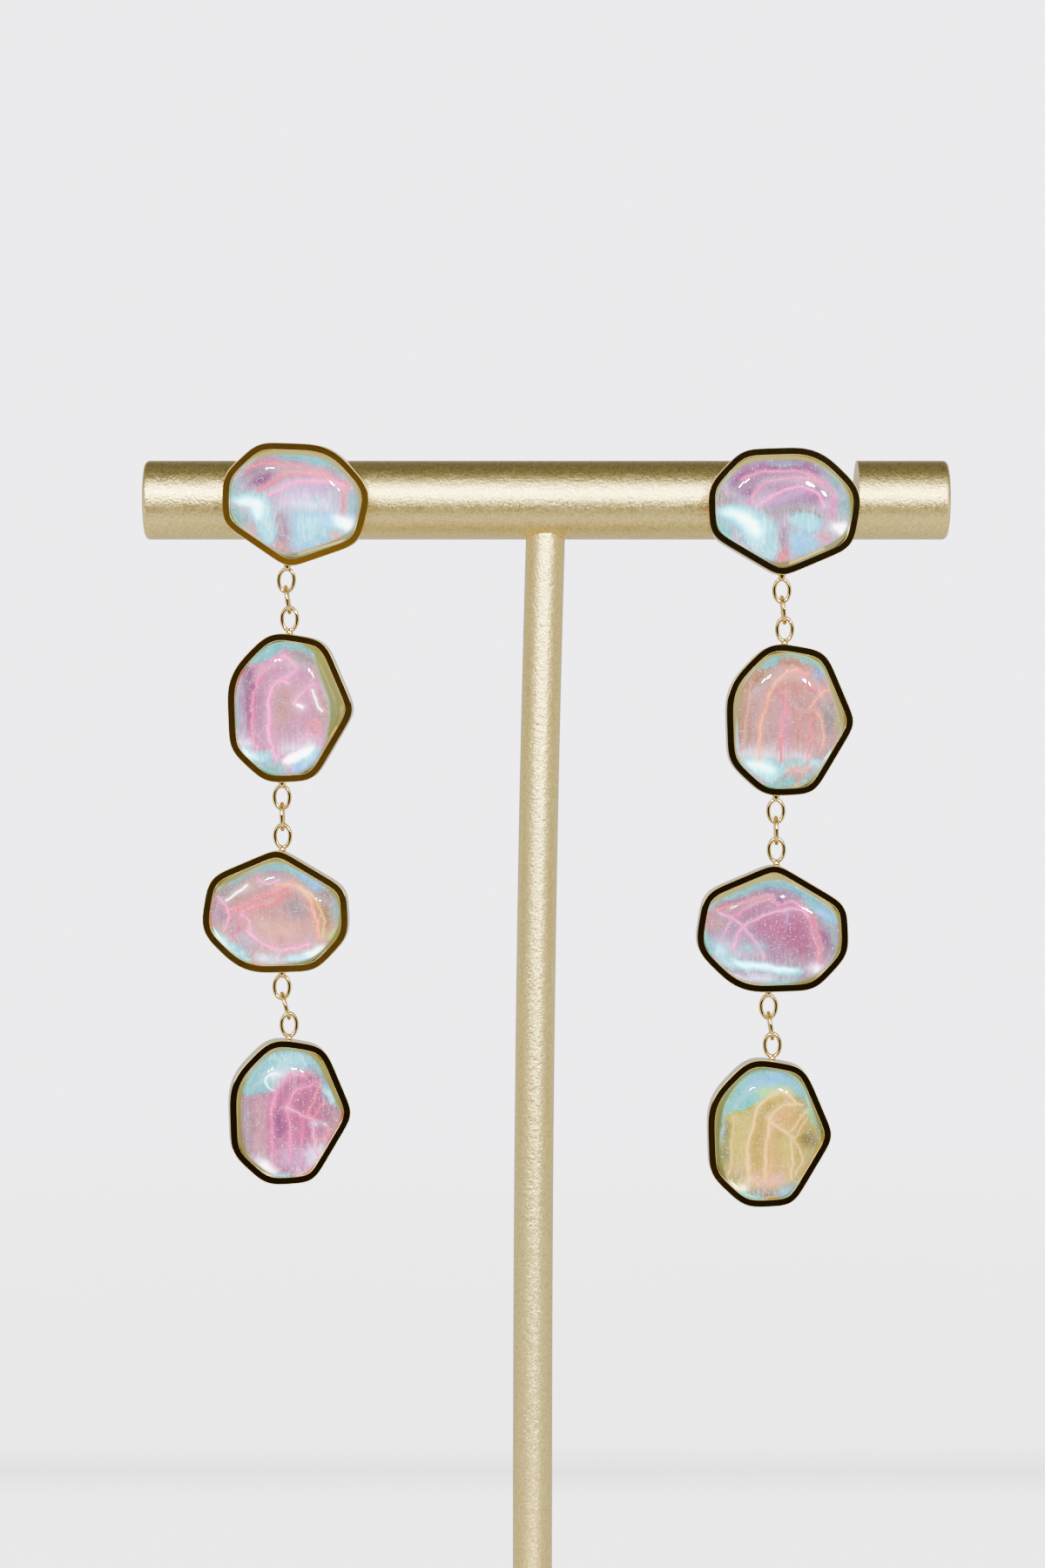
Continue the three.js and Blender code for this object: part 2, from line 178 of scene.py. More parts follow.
# Tints as they show on screen, 0 to 255.
TINTS = {
    # Some tints paint light as well as colour: white, pale and aqua also make painted highlights and
    # reflections, and the tint after white makes painted glare.
    "white": (254, 255, 255),
    "frost": (222, 226, 236),
    "pale": (196, 242, 246),
    "aqua": (140, 222, 228),
    "sheen": (168, 220, 236),
    "cyan": (128, 200, 204),
    "teal": (146, 186, 188),
    "sky": (150, 202, 236),
    "blue": (128, 200, 224),
    "periwinkle": (150, 170, 214),
    "lilac": (202, 176, 210),
    "grey": (190, 182, 200),
    "fog": (168, 152, 160),
    "ash": (158, 142, 142),
    "mauve": (178, 142, 168),
    "plum": (146, 84, 132),
    "violet": (150, 80, 142),
    "magenta": (190, 112, 150),
    "wine": (180, 106, 140),
    "pink": (206, 156, 182),
    "rose": (234, 146, 186),
    "petal": (244, 182, 214),
    "blush": (236, 186, 216),
    "coral": (238, 150, 160),
    "salmon": (208, 150, 142),
    "shell": (226, 184, 174),
    "clay": (196, 156, 156),
    "peach": (244, 190, 150),
    "apricot": (214, 178, 100),
    "copper": (184, 136, 104),
    "straw": (232, 208, 104),
    "gold": (206, 188, 96),
    "ochre": (188, 166, 80),
    "bronze": (146, 124, 66),
    "moss": (132, 134, 78),
    "olive": (158, 156, 78),
    "khaki": (180, 174, 116),
    "lime": (208, 218, 144),
    "yellow": (228, 206, 92),
}

# The foil of each stone seen from the front. Points are shares of the bezel's half width and half
# height inside its rim. band: the tint round the foil's edge, a painted reflection of the bezel's
# gold wall as it shows through the glass. edge: where that band ends. areas: tint, softness in the
# same shares, points. lines: tint, width in millimetres, strength, points. Every number is a
# hundredth, two to a point. Much of it is painted light: the bright whitish and aqua patches low on
# each stone are painted reflections of the light above, the white and pale marks are painted
# highlights and glints, the yellow and bronze lines along the edge are painted onto the band, and
# the cyan, sky and blue band along the top is partly the foil's own colour and partly painted
# reflection.
FOILS = {
    "left_1": {
        "band": "khaki",
        "base": "grey",
        "edge": (-110, 10, -100, 45, -85, 68, -60, 88, -20, 96, 20, 95, 50, 86, 75, 62, 90, 42, 96, 10,
            95, -20, 90, -42, 60, -62, 20, -84, -10, -98, -30, -90, -70, -70, -100, -50, -110, -30),
        "areas": (
            ("mauve", 6, -85, 45, -65, 85, -20, 85, 30, 74, 62, 60, 50, 52, -10, 60, -35, 50, -55, 30,
             -75, 30),
            ("plum", 7, -76, 35, -72, 62, -45, 66, -42, 45, -55, 30),
            ("cyan", 2, -40, 90, 0, 95, 45, 86, 66, 70, 55, 70, 30, 82, -20, 84),
            ("teal", 3, 50, 86, 74, 64, 88, 40, 76, 44, 58, 64),
            ("teal", 4, 80, 36, 94, 36, 95, -20, 82, -20),
            ("lilac", 12, -20, 28, 10, 42, 50, 36, 50, 5, -10, 0),
            ("frost", 12, -30, 5, 10, 22, 55, 16, 60, -10, 0, -12),
            ("teal", 6, -110, 25, -95, 45, -80, 10, -100, 0),
            ("teal", 5, -110, -10, -80, -12, -68, -40, -85, -64, -108, -42),
            ("sheen", 7, -10, -12, 40, -14, 90, -10, 90, -45, 50, -60, 10, -84, -5, -80, 0, -40),
            ("aqua", 8, 5, -25, 35, -22, 40, -55, 10, -72),
            ("mauve", 4, -30, -15, -13, -20, -10, -95, -26, -90),
            ("salmon", 5, -30, -75, -5, -75, -10, -95, -22, -93),
            ("shell", 6, -80, -42, -66, -45, -52, -80, -72, -74),
            ("aqua", 2, -100, 2, -80, 18, -55, 20, -42, 12, -38, -10, -30, -45, -28, -76, -42, -80, -52, -65,
             -62, -35, -72, -10, -85, -5),
            ("white", 4, -100, 0, -75, 12, -50, 5, -50, -30, -60, -35, -70, -12),
            ("white", 4, 58, -12, 93, -18, 92, -42, 76, -42, 60, -30),
            ("shell", 4, 50, -44, 80, -46, 60, -62),
        ),
        "lines": (
            ("coral", 56, 70, -75, 62, -50, 78, -20, 76, 20, 67, 45, 64),
            ("coral", 45, 100, -60, 20, -40, 42, -25, 58, 10, 62, 40, 62, 60, 50, 72, 42),
            ("petal", 59, 90, -42, 15, -20, 35, 0, 45, 30, 50, 60, 48, 75, 40),
            ("coral", 36, 90, 73, 45, 74, 20, 71, -10),
            ("blush", 17, 80, -22, 18, -12, 0),
            ("aqua", 17, 80, 30, 8, 36, 20),
            ("yellow", 20, 90, 10, -95, 40, -80, 85, -60),
            ("bronze", 25, 90, 20, -99, 50, -84, 95, -62),
        ),
    },
    "right_1": {
        "band": "khaki",
        "base": "grey",
        "edge": (-100, 10, -98, 40, -80, 70, -55, 88, -10, 95, 35, 95, 60, 82, 80, 62, 92, 40, 98, 10,
            97, -25, 85, -47, 50, -68, 10, -88, -5, -93, -30, -86, -70, -66, -93, -45, -100, -20),
        "areas": (
            ("violet", 5, -75, 55, -60, 84, -10, 90, 40, 92, 62, 70, 30, 68, -25, 66, -40, 42, -50, 28,
             -70, 38),
            ("teal", 2, -32, 88, 0, 92, 35, 86, 10, 84),
            ("teal", 3, 40, 94, 66, 78, 88, 50, 82, 35, 70, 55, 50, 80),
            ("plum", 8, -20, 50, 30, 56, 60, 50, 60, 20, 20, 20, -20, 10),
            ("lilac", 8, -25, 30, 20, 50, 45, 45, 30, 25, -20, 10, -38, 15),
            ("fog", 6, -100, 45, -82, 50, -72, 15, -95, 5),
            ("fog", 6, -30, 10, 50, 10, 65, -10, 10, -4, -25, -8),
            ("teal", 4, 84, 40, 96, 30, 96, -15, 86, -10),
            ("cyan", 4, -100, -10, -80, -12, -72, -40, -82, -62, -98, -40),
            ("grey", 5, -72, -35, -55, -45, -45, -75, -70, -66),
            ("sheen", 6, 10, -35, 50, -40, 62, -50, 25, -78, 10, -75),
            ("blue", 6, 20, -40, 36, -42, 32, -70, 20, -68),
            ("mauve", 2, -7, -25, 8, -28, 10, -80, -5, -92),
            ("coral", 5, -8, -68, 8, -70, 4, -90, -6, -90),
            ("coral", 5, 52, -40, 72, -42, 60, -55),
            ("aqua", 2, -98, 0, -80, 15, -50, 15, -20, -10, -8, -30, -8, -85, -30, -85, -50, -60, -65, -30,
             -85, -10),
            ("white", 4, -95, 2, -60, 10, -32, -20, -30, -50, -42, -50, -65, -15),
            ("aqua", 2, 8, -8, 30, 0, 50, -3, 58, -18, 48, -38, 25, -32, 10, -20),
            ("white", 3, 70, -20, 96, -18, 95, -38, 85, -44, 72, -32),
        ),
        "lines": (
            ("rose", 53, 80, -62, 62, -30, 76, 10, 77, 40, 71, 60, 55),
            ("rose", 39, 100, -52, 18, -35, 45, -20, 60, 10, 63, 45, 62, 66, 50, 76, 20, 73, -10),
            ("petal", 63, 80, -38, 10, -20, 30, 0, 42, 30, 48, 50, 40, 62, 10),
            ("blush", 20, 70, 5, -5, 0, -25),
            ("blush", 20, 70, -82, 50, -84, 30),
            ("yellow", 22, 100, 10, -95, 30, -85, 60, -68),
        ),
    },
    "left_2": {
        "band": "olive",
        "base": "pink",
        "edge": (-108, 30, -95, 62, -60, 88, -30, 100, 10, 100, 33, 90, 46, 62, 58, 35, 70, 10, 72, -15,
            64, -38, 56, -62, 42, -85, 20, -98, -10, -102, -40, -102, -70, -90, -100, -68, -110, -40,
            -112, 0),
        "areas": (
            ("grey", 5, -110, 40, -95, 60, -85, 50, -84, -50, -108, -55),
            ("teal", 4, -112, 30, -100, 30, -100, -50, -110, -50),
            ("plum", 6, -92, 58, -72, 66, -66, 20, -76, -40, -86, -30),
            ("cyan", 1.5, -97, 60, -60, 88, -30, 102, 15, 100, 36, 88, 48, 64, 36, 75, 20, 84, 0, 88, -30, 80,
             -60, 66),
            ("ash", 3, -15, 85, 20, 83, 38, 72, 44, 62, 25, 64, 5, 72),
            ("mauve", 8, -62, 40, -50, 20, -52, -40, -68, -40),
            ("clay", 8, -35, 36, 5, 40, 10, 10, -10, -30, -38, -30),
            ("salmon", 4, 40, 62, 52, 60, 62, 35, 46, 38),
            ("lime", 2, 40, 74, 50, 62, 62, 36, 70, 30, 56, 62),
            ("clay", 6, 48, 32, 72, 10, 72, -20, 52, -25, 48, 0),
            ("khaki", 4, 72, 22, 82, 5, 80, -20, 70, -32),
            ("frost", 8, -20, -55, 40, -50, 52, -58, 10, -65, -20, -72),
            ("frost", 5, -108, -45, -85, -45, -60, -60, -90, -62),
            ("aqua", 2, -110, -56, -85, -60, -60, -68, -40, -62, -34, -78, -60, -86, -86, -80),
            ("white", 3, -108, -58, -80, -64, -60, -74, -70, -80, -95, -72),
            ("cyan", 3, -75, -86, -35, -79, -10, -90, -10, -102, -40, -102, -66, -92),
            ("teal", 3, -40, -82, -20, -86, -20, -94, -40, -92),
            ("sky", 3, 10, -75, 50, -60, 46, -80, 20, -96, 0, -96, 0, -85),
            ("aqua", 5, 20, -72, 46, -62, 40, -80, 20, -88),
            ("white", 2, -22, -80, 10, -62, 46, -57, 35, -72, 10, -80, -5, -88),
        ),
        "lines": (
            ("rose", 48, 110, -15, 78, -40, 66, -55, 58, -68, 35, -74, 5, -76, -30, -68, -60),
            ("petal", 48, 110, -10, 38, -32, 40, -44, 20, -45, -30, -40, -60, -28, -78),
            ("petal", 70, 60, -20, 78, 0, 72, 12, 60, 0, 50, -20, 42),
            ("petal", 70, 60, 5, 8, 20, 25, 40, 36),
            ("white", 50, 95, 12, 5, 20, 1),
            ("white", 30, 90, 38, 26, 45, 16, 50, 2, 56, -4),
            ("coral", 34, 90, 30, -30, 42, -21, 52, -24, 53, -36, 40, -38, 32, -44),
            ("blush", 42, 50, 10, -50, 35, -40, 55, -48),
            ("lilac", 35, 70, -94, 40, -96, 0, -94, -40),
            ("yellow", 30, 90, 88, -30, 74, -50, 66, -66),
            ("yellow", 20, 60, 98, 2, 86, -24),
        ),
    },
    "right_2": {
        "band": "khaki",
        "base": "clay",
        "edge": (-98, 0, -90, 40, -78, 68, -45, 85, -15, 98, 20, 97, 55, 85, 70, 60, 82, 30, 95, 0, 98, -12,
            85, -40, 65, -65, 35, -92, 10, -102, -40, -102, -70, -84, -95, -60, -102, -30),
        "areas": (
            ("copper", 5, -80, 66, -30, 76, -28, 56, -66, 50, -80, 30),
            ("copper", 6, -95, 30, -78, 50, -70, 10, -80, -40, -96, -30),
            ("cyan", 1.5, -80, 68, -45, 86, -15, 99, 20, 98, 56, 86, 66, 64, 60, 64, 45, 78, 15, 88, -10, 89,
             -40, 76),
            ("copper", 3, -20, 90, 10, 88, 40, 77, 40, 70, 10, 78, -20, 82),
            ("periwinkle", 3, 38, 74, 55, 78, 66, 62, 50, 58),
            ("salmon", 7, -20, 80, 30, 72, 45, 45, 30, 32, -10, 38, -35, 45),
            ("clay", 7, -48, 20, -20, 30, -20, -45, -50, -45),
            ("salmon", 7, 5, 15, 32, 5, 36, -50, 2, -50),
            ("pink", 6, -15, 30, 4, 30, -2, -50, -18, -50),
            ("ash", 4, 62, 18, 75, 28, 86, 0, 76, -26, 60, -10),
            ("khaki", 3, 80, 35, 95, 0, 90, -25, 84, -20, 88, 0),
            ("frost", 7, -98, -40, -40, -44, 0, -50, 40, -48, 40, -60, -95, -58),
            ("aqua", 2, -96, -55, -60, -55, -20, -59, 10, -62, 50, -55, 62, -64, 30, -70, -5, -73, -15, -86,
             -40, -92, -66, -82),
            ("white", 4, -86, -60, -50, -58, -25, -70, -30, -82, -60, -76),
            ("shell", 3, -12, -72, 15, -66, 40, -68, 20, -80, 0, -80),
            ("cyan", 3, -50, -94, -10, -86, 10, -85, 10, -100, -40, -102),
            ("teal", 2, 20, -88, 45, -70, 56, -68, 36, -90, 16, -98),
            ("lime", 3, 2, -100, 28, -96, 20, -90),
        ),
        "lines": (
            ("peach", 42, 90, 30, 70, 10, 75, -10, 70, -30, 50, -40, 30, -50, 0, -56, -30, -55, -60),
            ("coral", 63, 80, -10, 38, -4, 20, -12, -10, -16, -40, -12, -62),
            ("coral", 49, 80, 20, 75, 35, 60, 45, 46, 70, 45),
            ("peach", 28, 90, 35, 15, 50, 30, 62, 42, 75, 42),
            ("coral", 36, 90, 45, 10, 40, -20, 38, -45, 34, -66),
            ("peach", 28, 90, 45, 12, 60, 5, 64, -15, 60, -40),
            ("salmon", 49, 80, -5, 30, 10, 12, 30, 10, 45, 10),
            ("shell", 31, 60, -70, 55, -75, 20, -82, -20, -85, -45),
            ("salmon", 42, 70, 42, 10, 52, -20, 50, -45),
            ("pale", 28, 80, 45, -78, 66, -60, 90, -32),
            ("sheen", 20, 70, -92, 30, -98, -10, -98, -40),
        ),
    },
    "left_3": {
        "band": "olive",
        "base": "clay",
        "edge": (-107, 15, -102, 36, -70, 58, -30, 85, 0, 97, 20, 88, 50, 70, 80, 45, 93, 20, 98, -5, 92, -35,
            80, -65, 60, -90, 30, -102, -20, -105, -62, -100, -87, -72, -104, -40, -109, -10),
        "areas": (
            ("ash", 5, -100, 36, -70, 50, -50, 50, -70, 25, -98, 20),
            ("mauve", 8, -105, 12, -80, 15, -70, -20, -98, -22),
            ("cyan", 2, -104, 36, -60, 62, -20, 88, 0, 97, 30, 82, 60, 64, 86, 40, 90, 25, 75, 35, 50, 52,
             20, 70, 0, 80, -25, 74, -65, 50),
            ("sky", 3, 30, 72, 60, 54, 74, 45, 60, 32, 45, 50),
            ("mauve", 4, -15, 76, 5, 76, 16, 60, -5, 50, -16, 60),
            ("ash", 5, 42, 56, 60, 32, 84, 36, 86, 20, 60, 25),
            ("salmon", 8, -50, 10, 10, 40, 20, 20, -20, 0, -50, -10),
            ("shell", 16, -40, -10, 30, -20, 50, -40, 20, -70, -20, -60),
            ("fog", 7, 16, 18, 40, 18, 46, -5, 30, -15, 18, 0),
            ("copper", 6, 64, 10, 86, 5, 86, -30, 76, -50, 64, -20),
            ("teal", 5, 84, 30, 95, 10, 96, -25, 86, -20),
            ("grey", 6, -62, -40, -40, -50, -35, -78, -60, -70),
            ("frost", 5, -35, -80, 10, -85, 20, -102, -30, -104),
            ("aqua", 2, -107, -28, -86, -40, -70, -60, -45, -80, -34, -100, -62, -100, -87, -72),
            ("white", 3, -102, -34, -80, -48, -66, -76, -86, -62),
            ("pale", 3, 12, -88, 45, -80, 86, -56, 66, -88, 40, -100, 20, -99),
            ("white", 3, 38, -82, 82, -58, 64, -86),
            ("lime", 3, 78, -50, 96, -15, 92, -45, 82, -66),
        ),
        "lines": (
            ("white", 30, 100, -78, 20, -66, 34, -44, 48),
            ("coral", 56, 90, -72, 0, -50, 10, -20, 30, 10, 42, 25, 50),
            ("peach", 45, 100, 0, 50, 25, 50, 42, 40, 55, 15, 60, -15, 68, -52),
            ("coral", 63, 70, -55, -5, -20, 10, 10, 30),
            ("straw", 25, 90, 35, 50, 55, 30, 68, 5, 74, -20, 72, -50),
            ("petal", 31, 90, -88, 22, -72, 0, -76, -20, -80, -36),
            ("rose", 42, 70, -55, -5, -60, -30, -66, -50),
            ("petal", 49, 100, -45, -40, -30, -60, 0, -76, 25, -76, 50, -62),
            ("petal", 36, 70, -30, 62, -15, 50, 5, 60),
            ("petal", 28, 70, -55, -6, -45, -20, -40, -40),
            ("sheen", 20, 70, 92, 25, 97, -10, 90, -40),
            ("yellow", 20, 60, 10, 100, 50, 80, 86, 50),
        ),
    },
    "right_3": {
        "band": "khaki",
        "base": "mauve",
        "edge": (-102, 15, -97, 42, -60, 60, -20, 78, 15, 86, 40, 72, 70, 50, 90, 25, 97, 0, 98, -30, 90, -60,
            70, -85, 40, -100, 0, -105, -40, -100, -70, -84, -97, -50, -104, -20),
        "areas": (
            ("wine", 5, -90, 34, -50, 52, -10, 64, -20, 40, -60, 22),
            ("cyan", 2, -98, 42, -60, 60, -20, 78, 12, 86, 40, 72, 68, 50, 88, 28, 96, 10, 88, 5, 70, 25,
             50, 45, 30, 62, 5, 74, -30, 66, -60, 50, -92, 30),
            ("sky", 3, 62, 42, 85, 30, 94, 8, 80, 8),
            ("violet", 4, -10, 68, 15, 72, 35, 60, 46, 44, 20, 42, -5, 55),
            ("clay", 7, -100, 25, -70, 15, -72, -10, -98, -5),
            ("magenta", 12, -25, 25, 40, 40, 60, 0, 55, -40, 10, -30, -30, 0),
            ("wine", 10, 25, -5, 58, -10, 62, -55, 30, -50),
            ("plum", 5, 74, -5, 88, -10, 88, -50, 76, -45),
            ("grey", 8, -90, -10, -50, -15, -20, -35, -10, -60, -70, -60, -95, -30),
            ("teal", 4, 66, 18, 92, 6, 97, -30, 90, -55, 88, 0),
            ("cyan", 3, -104, 2, -92, -10, -82, -40, -90, -56, -104, -30),
            ("frost", 5, -75, -84, -30, -83, 10, -90, 30, -102, -10, -105, -50, -97),
            ("cyan", 3, -10, -97, 45, -90, 32, -104, 0, -106),
            ("pale", 5, -88, -28, -70, -34, -64, -60, -76, -76),
            ("aqua", 2, -76, -42, -60, -55, -20, -65, 20, -72, 50, -78, 45, -90, 10, -86, -30, -80, -60, -74,
             -76, -60),
            ("white", 2.5, -62, -60, -20, -67, 30, -75, 42, -82, 0, -80, -40, -75),
            ("white", 4, 55, -72, 76, -60, 73, -80, 60, -88),
            ("mauve", 3, 45, -86, 60, -82, 60, -93, 40, -99),
        ),
        "lines": (
            ("rose", 39, 100, -60, 18, -30, 40, 0, 55, 10, 42, 35, 50, 50, 30, 60, 0, 66, -30, 72, -60),
            ("petal", 35, 80, -42, 5, -20, 16, 10, 32, 42, 36, 56, 20),
            ("coral", 31, 80, -90, 28, -40, 46, -5, 60, 0, 55),
            ("blush", 22, 100, -78, 27, -60, 17, -42, 5, -30, -15, -20, -36, -8, -60),
            ("blush", 22, 80, -60, 17, -67, -5, -72, -26),
            ("petal", 35, 80, -42, 5, -50, -15, -58, -40),
            ("coral", 35, 80, 60, 20, 70, -10, 74, -35, 70, -60),
            ("lilac", 42, 60, 22, 10, 24, 30),
            ("aqua", 42, 60, -40, -38, -34, -38),
            ("aqua", 42, 60, -16, -36, -12, -38),
            ("yellow", 16, 60, 30, 86, 60, 68, 90, 40),
        ),
    },
    "left_4": {
        "band": "olive",
        "base": "magenta",
        "edge": (-90, 20, -87, 45, -78, 64, -50, 84, -25, 95, 15, 95, 40, 88, 60, 62, 80, 30, 100, -2,
            104, -20, 87, -55, 62, -85, 42, -100, 0, -106, -35, -102, -66, -82, -86, -66, -91, -30),
        "areas": (
            ("fog", 6, -90, 15, -70, 15, -70, -60, -88, -62),
            ("clay", 6, -70, 25, -42, 25, -42, -75, -70, -72),
            ("cyan", 2.5, -90, 22, -87, 45, -78, 64, -50, 84, -20, 95, 20, 95, 42, 86, 58, 60, 72, 38, 94, 10,
             86, 5, 70, 20, 60, 48, 45, 62, 25, 66, 5, 60, -10, 45, -30, 28, -60, 26),
            ("aqua", 5, -40, 86, 30, 84, 40, 70, -30, 76),
            ("frost", 6, -45, 66, 10, 66, 10, 58, -15, 45, -40, 45),
            ("aqua", 2, 60, 42, 72, 32, 93, 9, 88, 5, 70, 18),
            ("wine", 6, 28, 62, 50, 52, 58, 40, 40, 40),
            ("wine", 8, 2, 14, 35, 20, 32, -5, 10, 0),
            ("plum", 7, -28, 0, -10, 0, -8, -40, -28, -40),
            ("wine", 6, 62, 10, 80, 5, 90, -10, 78, -22, 66, -10),
            ("clay", 5, 84, 0, 102, -10, 92, -45, 75, -62, 80, -30),
            ("lilac", 10, -25, -62, 40, -58, 46, -74, 20, -86, -20, -86),
            ("frost", 7, 34, -62, 60, -52, 76, -60, 58, -86, 30, -88),
            ("cyan", 3, 58, -72, 76, -60, 66, -82),
            ("frost", 5, -85, -66, -50, -74, -30, -86, -60, -84),
            ("white", 3, -72, -77, -40, -80, -20, -92, -30, -101, -52, -96),
            ("aqua", 2, -40, -96, -10, -95, 8, -98, 0, -106, -30, -106),
            ("frost", 3, 10, -94, 46, -90, 42, -102, 10, -104),
        ),
        "lines": (
            ("white", 24, 75, -20, 57, -36, 60, -48, 47, -42, 35, -27, 32, -18, 42),
            ("rose", 59, 100, 30, 55, 10, 58, -10, 48, -28, 30, -35, 5, -36, -30, -30, -72),
            ("rose", 48, 90, -5, 3, 5, 25, 20, 35, 40, 38, 56, 44),
            ("rose", 70, 80, -5, 3, 0, -20, 2, -50, 0, -78),
            ("petal", 28, 100, -5, 3, 20, -5, 40, -12, 56, -20),
            ("coral", 25, 90, 36, -8, 45, 10, 60, 38),
            ("coral", 25, 80, 48, -12, 60, 0, 70, 12),
            ("petal", 31, 90, 45, -20, 48, -45, 50, -72),
            ("coral", 25, 80, 54, -18, 76, -25, 70, -42, 50, -52),
            ("rose", 84, 50, 25, -10, 26, -50, 22, -80),
            ("pink", 70, 50, -62, 20, -65, -20, -60, -66),
            ("pink", 42, 50, -48, 20, -50, -20, -46, -66),
            ("pale", 42, 70, 50, -22, 52, -25),
            ("pale", 31, 70, 67, -22, 69, -24),
            ("yellow", 14, 50, -90, 50, -60, 86, -30, 100),
        ),
    },
    "right_4": {
        "band": "moss",
        "base": "ochre",
        "edge": (-88, 0, -81, 40, -66, 65, -40, 88, -10, 96, 30, 94, 60, 80, 76, 50, 91, 15, 99, -10,
            100, -35, 82, -66, 52, -94, 20, -108, -30, -107, -72, -86, -87, -62, -91, -30),
        "areas": (
            ("gold", 6, -72, 30, -40, 36, -30, 20, -42, -60, -72, -62),
            ("moss", 5, -88, 10, -75, 15, -76, -50, -88, -50),
            ("cyan", 2.5, -86, 20, -76, 50, -62, 68, -40, 88, -10, 96, 30, 94, 60, 80, 76, 48, 94, 2, 88, 0,
             72, 30, 60, 50, 40, 60, 20, 62, -5, 55, -25, 40, -45, 33, -72, 30),
            ("blue", 3, -45, 68, -20, 84, 10, 90, 50, 82, 68, 55, 72, 30, 62, 50, 45, 66, 10, 72, -20, 68),
            ("lime", 5, -30, 60, 0, 66, 40, 62, 35, 56, 0, 56),
            ("bronze", 3, 40, 58, 60, 52, 70, 36, 60, 40, 46, 48),
            ("apricot", 8, 0, 20, 25, 45, 50, 40, 58, 30, 44, 5, 20, -5),
            ("ochre", 6, -30, 10, -10, 10, -10, -50, -35, -50),
            ("apricot", 7, -5, 10, 18, 0, 18, -60, -8, -60),
            ("gold", 6, 22, -10, 46, -10, 42, -60, 22, -60),
            ("bronze", 3, 62, -5, 84, -2, 92, -20, 76, -26, 62, -18),
            ("khaki", 6, 76, -30, 98, -25, 90, -50, 74, -64, 68, -45),
            ("shell", 7, -45, -62, 30, -60, 40, -75, 10, -88, -40, -86),
            ("ash", 3, -40, -90, 20, -88, 0, -98, -35, -96),
            ("periwinkle", 4, 15, -92, 45, -78, 66, -70, 50, -94, 25, -106, 10, -102),
            ("sheen", 4, 20, -90, 50, -84, 40, -94, 24, -100),
            ("teal", 2, 40, -82, 62, -73, 50, -88),
            ("white", 3, -78, -72, -50, -78, -38, -88, -55, -93, -76, -82),
            ("aqua", 2, -62, -88, -30, -94, -5, -100, -30, -107, -57, -100),
            ("pale", 3, 50, -76, 72, -62, 66, -74),
        ),
        "lines": (
            ("straw", 56, 100, 35, 60, 15, 60, -10, 50, -22, 35, -30, 10, -40, -20, -42, -50, -35, -75),
            ("straw", 70, 80, 0, 20, -2, -10, -8, -40, -5, -70),
            ("straw", 42, 80, 0, 20, 15, 32, 35, 42, 50, 42),
            ("straw", 42, 80, 0, 20, 15, 5, 30, 0, 45, -10),
            ("straw", 24, 100, 42, 0, 55, 15, 75, 35),
            ("straw", 24, 80, 50, -10, 60, 5, 72, 20),
            ("straw", 28, 90, 45, -10, 45, -40, 42, -72),
            ("straw", 25, 80, 50, -12, 63, -30, 60, -50, 50, -62),
            ("straw", 49, 80, 35, 58, 50, 45, 62, 42),
            ("straw", 49, 60, -68, 25, -70, -20, -74, -65),
            ("pale", 22, 90, 70, 50, 82, 20, 92, -2),
            ("sheen", 22, 70, -78, 45, -86, 10, -90, -30),
        ),
    },
}


def length(name, description, default):
    return FloatProperty(name=name, description=description, default=default, unit="LENGTH")


class StandSettings(bpy.types.PropertyGroup):
    """Sizes and colour of the T-bar stand."""

    bar_length: length("Bar Length", "Length of the cross bar", 0.0812)
    bar_diameter: length("Bar Diameter", "Diameter of the cross bar", 0.008)
    rod_diameter: length("Rod Diameter", "Diameter of the upright rod", 0.004)
    base_diameter: length("Base Diameter", "Diameter of the base disc", 0.065)
    base_thickness: length("Base Thickness", "Thickness of the base disc", 0.004)
    satin_colour: FloatVectorProperty(
        name="Satin Gold",
        description="Colour of the stand's metal",
        default=(0.87, 0.67, 0.22),
        subtype="COLOR",
    )


class SettingSettings(bpy.types.PropertyGroup):
    """Finish of the bezels, links and ear backs."""

    edge_round: length("Edge Rounding", "Rounding of the bezel's edges", 0.00006)
    gold_colour: FloatVectorProperty(
        name="Polished Gold",
        description="Colour of the polished metal",
        default=(0.89, 0.64, 0.2),
        subtype="COLOR",
    )
    wire_sides: IntProperty(name="Wire Sides", description="Faces round a link's wire", default=12)


class StoneSettings(bpy.types.PropertyGroup):
    """Glass and foil of the stones."""

    outline_steps: IntProperty(
        name="Outline Steps", description="Faces round each corner of a stone", default=9
    )
    foil_cells: IntProperty(name="Foil Cells", description="Faces along each side of the foil", default=150)
    # The foil gives off its painted colours as light: a painted glow, though it is no lamp.
    foil_glow: FloatProperty(
        name="Foil Glow", description="Light that the foil gives back by itself", default=0.95
    )


class StageSettings(bpy.types.PropertyGroup):
    """Floor, light and camera."""

    floor_colour: FloatVectorProperty(
        name="Floor", description="Colour of the floor", default=(0.82, 0.82, 0.83), subtype="COLOR"
    )
    background: FloatVectorProperty(
        name="Background", description="Light behind the earrings", default=(4.33, 4.3, 4.7), soft_max=10
    )
    lens: FloatProperty(name="Lens", description="Focal length of the camera in millimetres", default=80.7)


def bezel_label(side, number):
    return f"{side}_{number}"


def body_of(side, number):
    return BODIES[number].format(side)


# Outlines in millimetres, as lists of 2D points counter-clockwise seen from the front.
def inset_corners(size, inset_of):
    corners = [Vector((c["x"] * BEZEL_LENGTH, c["z"] * BEZEL_HEIGHT)) * size for c in CORNERS]
    count = len(corners)
    sides = []
    for i, corner in enumerate(corners):
        along = (corners[(i + 1) % count] - corner).normalized()
        inwards = Vector((-along.y, along.x))
        sides.append((corner + inwards * inset_of(CORNERS[i]), along))
    moved = []
    for i, (start, along) in enumerate(sides):
        before_start, before_along = sides[i - 1]
        between = start - before_start
        reach = between.cross(along) / before_along.cross(along)
        moved.append(before_start + before_along * reach)
    return moved


